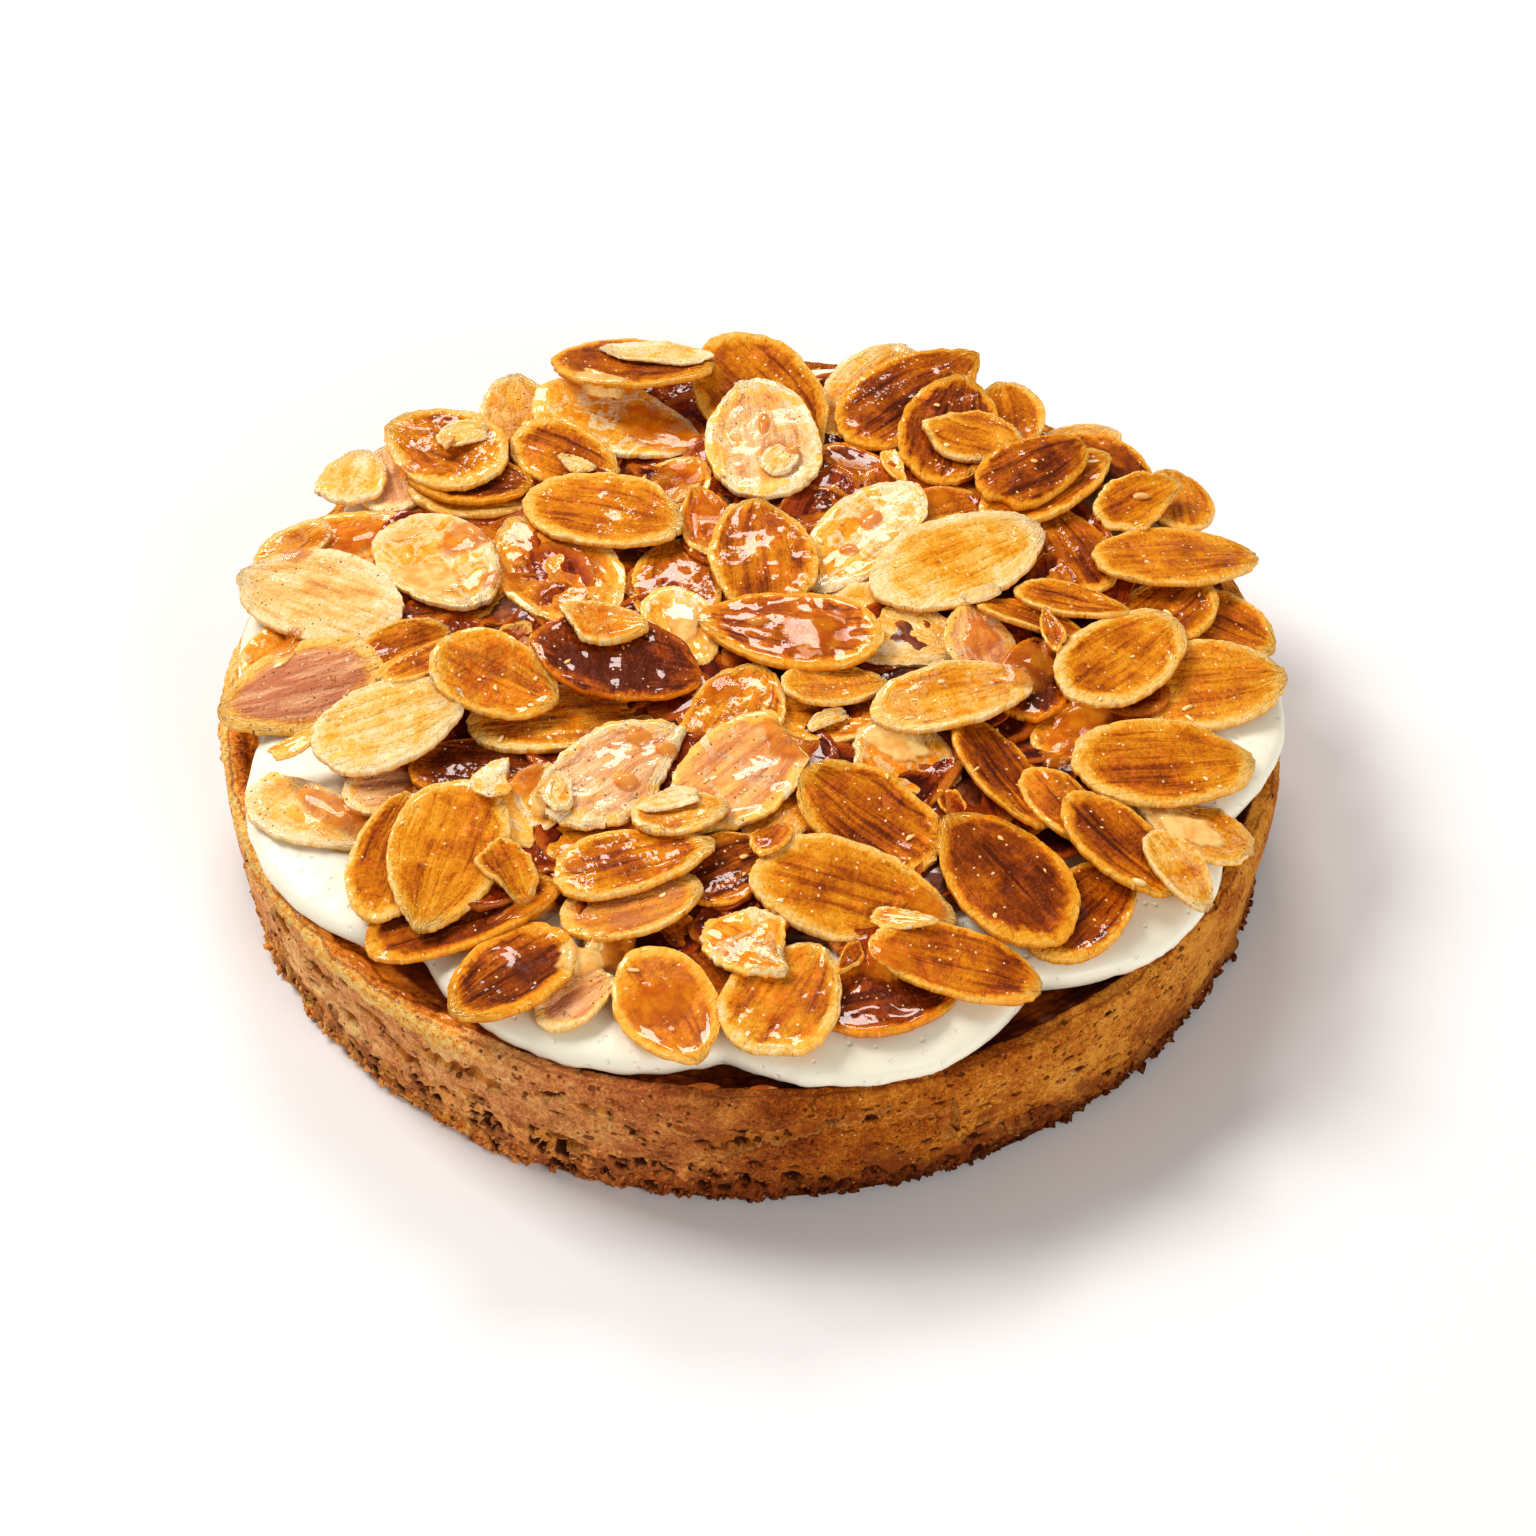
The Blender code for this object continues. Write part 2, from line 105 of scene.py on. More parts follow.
def meshFrom(name, points, triangles):  # points in millimetres
    mesh = bpy.data.meshes.new(name)
    mesh.vertices.add(len(points))
    mesh.vertices.foreach_set("co", (points * mm).astype(np.float32).ravel())
    mesh.loops.add(triangles.size)
    mesh.loops.foreach_set("vertex_index", triangles.astype(np.int32).ravel())
    mesh.polygons.add(len(triangles))
    mesh.polygons.foreach_set("loop_start", np.arange(0, triangles.size, 3, dtype=np.int32))
    mesh.update(calc_edges=True)
    return mesh


def pointsOf(mesh):
    points = np.empty(len(mesh.vertices) * 3)
    mesh.vertices.foreach_get("co", points)
    return points.reshape(-1, 3) / mm


def radiusOf(points):  # distance from the tart's axis
    return np.hypot(points[:, 0], points[:, 1])


def movePoints(mesh, points):
    mesh.vertices.foreach_set("co", (points * mm).astype(np.float32).ravel())
    mesh.update()


def paint(mesh, name, values):  # numbers kept on the points, for the materials
    single = values.ndim == 1
    layer = mesh.attributes.new(name, "FLOAT" if single else "FLOAT_VECTOR", "POINT")
    layer.data.foreach_set("value" if single else "vector", values.astype(np.float32).ravel())


def addPiece(name, mesh, material, node):
    piece = bpy.data.objects.new(name, mesh)
    bpy.context.scene.collection.objects.link(piece)
    mesh.shade_smooth()
    mesh.materials.clear()
    mesh.materials.append(material)
    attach(piece, "root")
    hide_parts(node)
    print("made", name, len(mesh.loops) - 2 * len(mesh.polygons), "triangles")
    return piece


def copyShape(rough, name):  # the shape of an object with its modifiers, as a mesh of its own
    bpy.context.scene.collection.objects.link(rough)
    mesh = bpy.data.meshes.new_from_object(rough.evaluated_get(bpy.context.evaluated_depsgraph_get()))
    bpy.data.objects.remove(rough)
    mesh.name = name
    return mesh


def turned(name, profile, steps):  # rows of (radius, height, gap between points) turned about Z
    line = smoothLine([row[:2] for row in profile], [row[2] for row in profile[:-1]])
    line[:, 0] = np.maximum(line[:, 0], 0)
    line[0, 0] = line[-1, 0] = 0
    bm = bmesh.new()
    chain = [bm.verts.new((radius * mm, 0, height * mm)) for radius, height in line]
    for pair in zip(chain, chain[1:]):
        bm.edges.new(pair)
    outline = bpy.data.meshes.new(name)
    bm.to_mesh(outline)
    bm.free()
    rough = bpy.data.objects.new(name, outline)
    turn = rough.modifiers.new("turn", "SCREW")
    turn.steps = turn.render_steps = steps
    turn.use_merge_vertices = True
    turn.merge_threshold = 1e-6
    mesh = copyShape(rough, name)
    rise = sum(face.normal.z * face.center.z * face.area for face in mesh.polygons)
    if rise < 0:
        mesh.flip_normals()
    return mesh


def takeShape(bm):  # points and triangles of what the bmesh holds, which is left empty
    bmesh.ops.triangulate(bm, faces=bm.faces)
    bm.verts.index_update()
    points = np.array([vert.co for vert in bm.verts])
    triangles = np.array([[vert.index for vert in face.verts] for face in bm.faces])
    bm.clear()
    return points, triangles


def joined(name, parts):  # one mesh of many parts, each its points and triangles
    starts = np.cumsum([0] + [len(points) for points, _ in parts])
    triangles = [faces + start for (_, faces), start in zip(parts, starts)]
    return meshFrom(name, np.vstack([points for points, _ in parts]), np.vstack(triangles))


def roundBit(fineness):  # a small ball, to be made into crumbs
    bm = bmesh.new()
    bmesh.ops.create_icosphere(bm, subdivisions=fineness, radius=1.0)
    shape = takeShape(bm)
    bm.free()
    return shape


def aroundFrom(turn, degrees):  # mm along the tart's side from a direction
    return np.angle(np.exp(1j * (turn - math.radians(degrees)))) * crust["radius"]


def tint(red, green, blue):  # a screen colour, made linear
    linear = [((c / 255 + 0.055) / 1.055) ** 2.4 if c > 10 else c / 3294 for c in (red, green, blue)]
    return (*linear, 1.0)


class Wire:  # a shader socket that takes part in sums
    def __init__(self, recipe, socket):
        self.recipe = recipe
        self.socket = socket

    def maths(self, operation, first, second):
        return self.recipe.node("Math", {"operation": operation}, {0: first, 1: second})

    def __add__(self, other):
        return self.maths("ADD", self, other)

    def __radd__(self, other):
        return self.maths("ADD", other, self)

    def __sub__(self, other):
        return self.maths("SUBTRACT", self, other)

    def __rsub__(self, other):
        return self.maths("SUBTRACT", other, self)

    def __mul__(self, other):
        return self.maths("MULTIPLY", self, other)

    def __rmul__(self, other):
        return self.maths("MULTIPLY", other, self)

    def __pow__(self, other):
        return self.maths("POWER", self, other)


class Recipe:  # a material, and the nodes that it is mixed from
    def __init__(self, name, **finish):
        self.material = bpy.data.materials.new(name)
        self.material.use_nodes = True
        self.tree = self.material.node_tree
        self.shader = self.tree.nodes["Principled BSDF"]
        for socket, value in finish.items():
            self.shader.inputs[socket].default_value = value
        self.place = self.node("TexCoord", output=3)  # Object coordinates, in metres

    def node(self, kind, settings=None, sockets=None, output=0):
        made = self.tree.nodes.new("ShaderNode" + kind)
        for name, value in (settings or {}).items():
            if name == "stops":
                self.setStops(made.color_ramp, value)
            else:
                setattr(made, name, value)
        for name, value in (sockets or {}).items():
            if isinstance(value, Wire):
                self.tree.links.new(value.socket, made.inputs[name])
            else:
                made.inputs[name].default_value = value
        return Wire(self, made.outputs[output])

    def setStops(self, ramp, stops):  # rows of place, red, green, blue
        while len(ramp.elements) < len(stops):
            ramp.elements.new(1.0)
        for element, (place, *colour) in zip(ramp.elements, stops):
            element.position = place
            element.color = tint(*colour)

    def feed(self, socket, wire):
        self.tree.links.new(wire.socket, self.shader.inputs[socket])

    def stored(self, name, output=2):  # 2 is a number, 1 a vector
        return self.node("Attribute", {"attribute_name": name}, output=output)

    def parts(self, vector):
        return [self.node("SeparateXYZ", None, {0: vector}, output=axis) for axis in range(3)]

    def stretch(self, vector, by):
        return self.node("VectorMath", {"operation": "MULTIPLY"}, {0: vector, 1: by})

    def noise(self, vector, size, detail=3.0, rough=0.5, twist=0.0):  # size in the vector's units
        sockets = {"Vector": vector, "Scale": 1 / size, "Detail": detail, "Roughness": rough}
        return self.node("TexNoise", None, {**sockets, "Distortion": twist})

    def spots(self, vector, size, output=0):  # 0 is the distance to a spot, 1 its random colour
        return self.node("TexVoronoi", None, {"Vector": vector, "Scale": 1 / size}, output)

    def ease(self, value, low, high):
        settings = {"interpolation_type": "SMOOTHSTEP"}
        return self.node("MapRange", settings, {0: value, 1: low, 2: high, 3: 0.0, 4: 1.0})

    def mix(self, share, first, second, blend="MIX"):
        settings = {"data_type": "RGBA", "blend_type": blend}
        return self.node("Mix", settings, {0: share, 6: first, 7: second}, output=2)

    def shades(self, value, stops):
        return self.node("ValToRGB", {"stops": stops}, {0: value})

    def bump(self, height, depth, strength=1.0, under=None):
        sockets = {"Height": height, "Distance": depth, "Strength": strength}
        if under:
            sockets["Normal"] = under
        return self.node("Bump", None, sockets)


# Camera, floor and light
shot = {
    "elevation": 46.3,  # degrees above the table
    "distance": 400.0,
    "focalPixels": 3421.0,
    "imagePixels": 1536.0,
    "sensor": 36.0,
    "aimRight": 1.82,  # where the middle of the picture meets the tart, in mm
    "aimUp": 3.43,
}
room = {
    "world": 0.25,
    "floor": (0.82, 0.825, 0.84, 1.0),
    # name: direction (degrees from +X), elevation, distance in m, width, height, watts, colour
    "key": (148.0, 48.0, 1.30, 0.50, 0.50, 12.0, (1.0, 0.97, 0.93)),
    "top": (94.0, 47.0, 1.10, 0.33, 0.21, 3.4, (1.0, 0.88, 0.84)),
    "front": (-58.0, 27.0, 1.40, 0.7, 0.45, 7.8, (1.0, 0.98, 0.95)),
}


def setCamera():
    slope = math.radians(shot["elevation"])
    ahead = Vector((0, math.cos(slope), -math.sin(slope)))
    up = Vector((0, math.sin(slope), math.cos(slope)))
    eye = -ahead * shot["distance"] * mm
    aim = (Vector((shot["aimRight"], 0, 0)) + up * shot["aimUp"]) * mm
    data = bpy.data.cameras.new("camera")
    data.sensor_width = shot["sensor"]
    data.lens = shot["focalPixels"] / shot["imagePixels"] * shot["sensor"]
    data.clip_start = 0.01
    camera = bpy.data.objects.new("camera", data)
    camera.location = eye
    camera.rotation_euler = (aim - eye).to_track_quat("-Z", "Y").to_euler()
    bpy.context.scene.collection.objects.link(camera)
    bpy.context.scene.camera = camera


def softLight(name):
    turn, rise, far, width, height, watts, colour = room[name]
    turn, rise = math.radians(turn), math.radians(rise)
    data = bpy.data.lights.new(name, "AREA")
    data.shape = "RECTANGLE"
    data.size = width
    data.size_y = height
    data.energy = watts
    data.color = colour
    light = bpy.data.objects.new(name, data)
    light.visible_camera = False
    flat = math.cos(rise)
    light.location = far * Vector((math.cos(turn) * flat, math.sin(turn) * flat, math.sin(rise)))
    light.rotation_euler = (-light.location).to_track_quat("-Z", "Y").to_euler()
    bpy.context.scene.collection.objects.link(light)


def setRoom():
    scene = bpy.context.scene
    scene.view_settings.view_transform = "Standard"
    scene.view_settings.look = "Medium High Contrast"
    world = bpy.data.worlds.new("studio")
    world.use_nodes = True
    backdrop = world.node_tree.nodes["Background"]
    backdrop.inputs["Color"].default_value = (1.0, 0.965, 0.93, 1.0)
    backdrop.inputs["Strength"].default_value = room["world"]
    scene.world = world
    for name in ("key", "top", "front"):
        softLight(name)
    table = Recipe("table", **{"Roughness": 0.9, "Base Color": room["floor"]})
    bm = bmesh.new()
    bmesh.ops.create_grid(bm, x_segments=1, y_segments=1, size=3.0)
    mesh = bpy.data.meshes.new("floor")
    bm.to_mesh(mesh)
    bm.free()
    floor = bpy.data.objects.new("floor", mesh)
    mesh.materials.append(table.material)
    scene.collection.objects.link(floor)
    print("camera, floor and lights are set")


# Pastry case
crust = {
    "radius": 60.0,
    "height": 17.5,
    "turns": 1200,
    "skinFoot": 6.7,  # height at which the smooth skin ends in a torn lip
    "skinRight": 3.9,  # how much lower that is on the right
    "crumbDepth": 0.85,  # how far the bare crumb lies behind the skin
    "sheetStep": 0.26,  # between the thin sheets that overlap along the side
    "lipSwell": 0.24,
    "slitDepth": 0.60,
    "poreDepth": 0.30,
    "holeDepth": 1.25,
    "overhang": 0.55,  # of the crest's ragged lip on the left
    "crumbs": 2100,
    "seed": 11,
}
# Profile of the case, from the middle of its floor over the rim to the middle of its underside: radius,
# height, and how far apart the points are that follow
crustLine = [
    (0.0, 4.0, 28.0), (30.0, 4.0, 12.0), (53.9, 4.0, 1.6), (55.2, 5.2, 3.0), (55.3, 9.0, 2.0),
    (55.0, 13.4, 0.8), (54.6, 15.4, 0.42), (55.3, 16.05, 0.36), (56.4, 16.3, 0.34), (57.4, 17.1, 0.32),
    (58.5, 17.5, 0.3), (59.4, 17.1, 0.3), (59.9, 16.0, 0.32), (59.9, 14.5, 0.36), (59.5, 10.5, 0.36),
    (59.3, 7.5, 0.36), (59.1, 5.0, 0.36), (59.0, 3.4, 0.36), (58.8, 1.7, 0.36), (58.2, 0.1, 0.6),
    (56.5, 0.0, 4.0), (44.0, 0.0, 14.0), (24.0, 0.0, 24.0), (0.0, 0.0, 0),
]
# Torn places in the side: direction in degrees, height, length, width, depth, rise for each mm along
crustTears = [
    (-141.5, 11.7, 7.5, 1.3, 0.8, 0.05), (-133.0, 12.5, 6.5, 1.2, 0.7, 0.10),
    (-148.5, 12.9, 5.0, 1.3, 0.8, 0), (-156.0, 13.2, 6.0, 1.2, 0.7, 0.08),
    (-137.0, 8.8, 4.0, 1.2, 0.8, 0.1), (-128.0, 9.4, 4.5, 1.2, 0.8, -0.1),
    (-164.0, 13.0, 5.0, 1.2, 0.7, 0), (-119.5, 9.2, 3.6, 1.0, 0.7, 0.1),
    (-123.2, 12.7, 8.5, 1.5, 0.8, 0), (-117.6, 13.4, 5.0, 1.2, 0.7, -0.15),
    (-111.5, 13.7, 2.0, 0.7, 0.5, -0.2), (-107.1, 13.9, 2.9, 1.0, 0.6, -0.15),
    (-104.8, 14.1, 2.0, 0.8, 0.5, -0.2), (-111.0, 6.2, 8.0, 1.8, 0.9, 0.1),
    (-102.4, 11.4, 1.4, 0.6, 0.5, -0.3), (-97.4, 12.7, 4.2, 1.0, 0.7, -0.5),
    (-101.2, 10.2, 1.0, 0.5, 0.4, -0.3), (-92.2, 9.9, 6.8, 1.8, 0.7, 0.38),
    (-86.3, 12.2, 7.2, 1.7, 0.6, 0.30), (-79.8, 13.9, 7.6, 1.3, 0.5, 0.18),
    (-73.5, 12.6, 3.6, 1.0, 0.5, -0.5), (-70.1, 9.2, 2.4, 3.6, 0.9, -0.6),
    (-73.8, 10.6, 0.9, 0.6, 0.5, 0), (-55.8, 9.1, 4.5, 0.8, 0.25, 0.2),
    (-60.0, 4.2, 9.5, 1.3, 0.8, -0.2), (-150.0, 8.3, 5.0, 1.0, 0.6, 0.1),
    (-161.0, 10.6, 6.0, 1.2, 0.6, -0.1), (-171.0, 7.4, 7.0, 1.3, 0.7, 0.1),
    (160.0, 11.0, 8.0, 1.3, 0.7, 0.1), (128.0, 8.5, 9.0, 1.6, 0.8, -0.15),
    (104.0, 12.2, 6.0, 1.1, 0.6, 0.2), (78.0, 9.0, 8.0, 1.5, 0.7, 0.15),
    (52.0, 11.6, 6.5, 1.1, 0.6, -0.2), (24.0, 8.2, 7.0, 1.3, 0.7, 0.2), (4.0, 12.0, 5.0, 0.9, 0.5, 0),
]
# Holes in the foot: direction in degrees, height, size and depth
footHoles = [
    (-131.0, 5.6, 1.7, 1.2), (-127.0, 5.2, 2.0, 1.4), (-99.8, 5.6, 1.5, 1.0), (-96.5, 5.9, 1.5, 1.1),
    (-103.5, 4.8, 1.2, 1.0), (-86.2, 4.4, 2.3, 1.5), (-82.8, 3.7, 1.2, 1.0), (-78.0, 3.9, 1.9, 1.1),
    (-91.2, 3.4, 1.6, 1.1), (-107.5, 4.3, 1.4, 1.1), (-118.5, 4.2, 1.5, 1.1), (-67.0, 5.0, 1.4, 1.0),
    (-138.0, 5.0, 1.6, 1.2), (-146.0, 4.6, 1.5, 1.1), (-112.6, 3.6, 1.2, 0.9), (-71.3, 5.1, 1.0, 0.8),
]


def tearSide(points, turn, height, side, grain, push):  # tells how torn each point is
    edge = 0.35 * lumps(points, 1.6, 91)
    fineEdge = 0.15 * lumps(points, 0.7, 92)
    swelling = 1 + 0.45 * lumps(points, 1.1, 93)
    bottom = lumps(points, 0.8, crust["seed"] + 41)
    torn = np.zeros(len(points))
    for degrees, level, length, width, depth, tilt in crustTears:
        along = aroundFrom(turn, degrees)
        across = height - level - tilt * along - edge - fineEdge
        half = width * np.clip(1 - (2 * along / length) ** 2, 0, 1) ** 0.6 * swelling
        inside = ease(half - np.abs(across), 0.0, 0.28) * (np.abs(along) < 0.5 * length) * side
        push -= 1.5 * depth * inside * (1 - 0.25 * grain)
        push += 0.3 * inside * bottom
        torn = np.maximum(torn, inside)
    return torn


def holeFoot(points, turn, height, side, push):  # tells how far inside a hole each point is
    edge = 1 + 0.3 * lumps(points, 0.8, 95)
    holed = np.zeros(len(points))
    for degrees, level, size, depth in footHoles:
        gap = np.hypot(aroundFrom(turn, degrees) / 1.25, height - level) / (0.5 * size) * edge
        inside = ease(1 - gap, 0.0, 0.45) * side
        push -= depth * inside
        holed = np.maximum(holed, inside)
    return holed


def shapeCrust(mesh):
    points = pointsOf(mesh)
    radius = radiusOf(points)
    height = points[:, 2].copy()
    turn = np.arctan2(points[:, 1], points[:, 0])
    seed = crust["seed"]

    def rough(size, number):
        return lumps(points, size, seed + number)

    side = ease(radius, 56.8, 58.2) * ease(height, -0.1, 0.2) * (1 - ease(height, 16.0, 17.2))
    crest = ease(height, 15.2, 16.0) * ease(radius, 54.6, 55.6)
    inner = ease(height, 12.5, 14.5) * (1 - ease(radius, 57.0, 58.4)) * ease(radius, 54.2, 54.8)
    leftward = ease(-points[:, 0], 18, 45)
    # the skin's torn lower edge, lower on the right, where the case is smooth nearly to the foot
    degrees = np.degrees(turn)
    right = ease(degrees, -101, -85) * (1 - ease(degrees, 20, 60))
    wave = 1.3 * rough((17, 17, 90), 0) + 0.8 * rough((5, 5, 30), 1)
    lip = crust["skinFoot"] - crust["skinRight"] * right + wave + 0.9 * rough((1.6, 1.6, 3), 2)
    lip = lip + 0.5 * rough(0.7, 3)
    skin = ease(height - lip, -0.10, 0.20)
    bare = (1 - skin) * side
    push = 0.30 * layered(points, 19, seed + 4) + 0.15 * rough((4.5, 4.5, 2.6), 5)
    push += 0.07 * rough(0.9, 6)
    sheet = rough((13, 13, 3.0), 7) + 0.25 * rough((3, 3, 1.2), 8)
    push += side * skin * (crust["sheetStep"] * ease(sheet, -0.02, 0.06) - 0.5 * crust["sheetStep"])
    push += side * crust["lipSwell"] * np.exp(-(((height - lip - 0.45) / 0.5) ** 2))
    push -= bare * crust["crumbDepth"] * (1 - 0.8 * ease(height, 0.2, 2.2))
    # slits and fine pits in the skin, round holes in the bare crumb, which are also painted dark as
    # painted shade
    crumbs, crumbNumber = pebbles(points, (1.9, 1.9, 1.4), seed + 10)
    slits, slitNumber = pebbles(points, (3.0, 3.0, 1.2), seed + 20)
    tiny, tinyNumber = pebbles(points, (1.2, 1.2, 0.85), seed + 30)
    slit = skin * side * ease(1 - slits / 0.40, 0.0, 0.5) * (slitNumber > 0.84)
    fine = side * ease(1 - tiny / 0.40, 0.0, 0.6) * (tinyNumber > 0.74 - 0.4 * bare)
    hole = bare * ease(1 - crumbs / 0.50, 0.0, 0.4) * (crumbNumber > 0.35)
    grain = bare * (0.55 * (0.5 - crumbs) + 0.34 * rough(0.9, 40))
    push += grain - crust["slitDepth"] * slit - crust["poreDepth"] * fine - crust["holeDepth"] * hole
    torn = tearSide(points, turn, height, side, grain, push)
    holed = holeFoot(points, turn, height, side, push)
    # painted shade: slits, pits, holes, the torn places and the foot holes are painted dark within
    dark = np.maximum(np.maximum(0.8 * slit, 0.6 * fine), hole)
    shaded = 0.4 * (1 - 0.7 * leftward) * torn * ease(rough((1.1, 1.1, 0.8), 42), 0.15, 0.5)
    dark = np.maximum(np.maximum(dark, shaded), ease(holed, 0.35, 1.0))
    # the crest: its ragged lip hangs over the side on the left, and it is bubbled within
    ledge = 15.8 + 0.5 * rough((5, 5, 30), 50) + 0.35 * rough((1.3, 1.3, 9), 51)
    above = ease(height - ledge, -0.12, 0.12)
    broken = ease(rough((9, 9, 40), 57), -0.5, 0.1)
    push -= crust["overhang"] * leftward * broken * (1 - above) * ease(height, 12.4, 14.8) * side
    brim = 0.22 * leftward * broken * above
    push += brim * np.exp(-(((height - ledge) / 0.6) ** 2)) * ease(radius, 58.8, 59.4)
    wall = radius + 0.5 * rough((7, 7, 30), 55)
    ridges = np.sin(wall * 4.6) * (1 - ease(radius, 58.2, 59.2))
    push += inner * (0.20 * layered(points, 2.2, seed + 52) + 0.09 * rough(0.7, 53))
    push += 0.13 * ridges * np.maximum(crest, inner)
    bubbles, _ = pebbles(points, (1.5, 1.5, 0.9), seed + 54)
    push += crest * (0.26 * (0.5 - bubbles) + 0.10 * rough(2.6, 56))
    push += crest * 0.12 * rough(0.7, 58)
    # crumbs stand out along the foot, with one larger bit and a notch at the right
    ragged = side * (1 - ease(height, 0.9, 2.4))
    push += ragged * (0.35 * rough((3.1, 3.1, 9), 60) + 0.35 * rough(0.8, 61))
    push += ragged * 0.8 * bare
    low = 1 - ease(height, 1.6, 3.6)
    push += 1.1 * np.exp(-((aroundFrom(turn, -25.5) / 1.3) ** 2)) * side * low
    push -= 0.9 * np.exp(-((aroundFrom(turn, -22.6) / 0.8) ** 2)) * side * low
    # the side moves outward and the crest upward
    steep = ease(radius, 57.4, 59.2) * (1 - 0.75 * ease(height, 16.4, 17.4))
    outward = side * np.maximum(steep, 1 - ease(height, 8, 10))
    upward = np.clip(crest * (1 - 0.6 * steep), 0, 1) * ease(height, 13, 15)
    rise = 0.25 * rough((16, 16, 60), 70) * ease(height, 6, 16)
    border = radius + 0.35 * rough((3, 3, 9), 80) + 0.2 * rough(0.9, 81)
    spread = (radius + push * outward) / np.maximum(radius, 0.001)
    points[:, 0] *= spread
    points[:, 1] *= spread
    points[:, 2] += np.where(height > 12, push * upward * 0.8, 0) + rise
    points[:, 2] = np.maximum(points[:, 2], 0.0)
    movePoints(mesh, points)
    # where the colours change, as the undisturbed profile has it
    # the gold band is painted mostly on the lit left, partly as painted light
    gold = ease(border, 57.1, 57.7) * np.where(radius > 59, above, 1) * (0.15 + 0.85 * leftward)
    caramel = (1 - ease(border, 57.0, 57.8)) * ease(height, 6, 12)
    paint(mesh, "pores", np.clip(dark, 0, 1))
    paint(mesh, "torn", torn)
    paint(mesh, "bare", bare)
    paint(mesh, "bands", np.stack((gold, ease(border, 57.2, 59.4), caramel), 1))


# the left rows are paler partly as painted light where the key lamp falls, the right rows darker partly
# as painted shade
crustShades = {  # rows of place, red, green, blue
    "right": [(0.42, 224, 156, 64), (0.56, 190, 112, 30), (0.70, 152, 74, 10), (0.86, 100, 42, 4)],
    "left": [(0.42, 255, 218, 150), (0.56, 248, 184, 118), (0.70, 226, 146, 90), (0.86, 166, 92, 46)],
    "crumb": [(0.42, 248, 174, 98), (0.56, 214, 126, 58), (0.70, 152, 76, 26), (0.86, 84, 36, 10)],
    "gold": [
        (0.34, 255, 216, 134), (0.46, 255, 188, 88), (0.58, 242, 148, 46), (0.74, 198, 98, 20),
        (0.90, 124, 54, 8),
    ],
    "caramel": [(0.40, 236, 148, 44), (0.54, 176, 88, 18), (0.72, 96, 38, 4)],
}
# Pits: how far apart in mm, how wide, how many in the skin, how many more in bare crumb, how flat
crustPits = [
    (2.7, 0.26, 0.06, 0.40, 1.8), (1.6, 0.27, 0.16, 0.32, 1.5), (0.95, 0.26, 0.26, 0.20, 1.1),
]


def pitCrust(pastry, bare, grain, left):
    hollows = 0.0
    for size, reach, share, more, flat in crustPits:
        spread = pastry.stretch(pastry.place, (1, 1, flat))
        chosen = pastry.parts(pastry.spots(spread, size * mm, 1))[2]
        near = pastry.spots(spread, size * mm) + 0.26 * (grain - 0.5)
        hollow = pastry.ease(near, reach, 0.65 * reach)
        often = chosen + more * bare * (1 - 0.4 * left) - 0.05 * left
        hollows = hollows + hollow * pastry.ease(often, 0.98 - share, 1.0 - share)
    return hollows


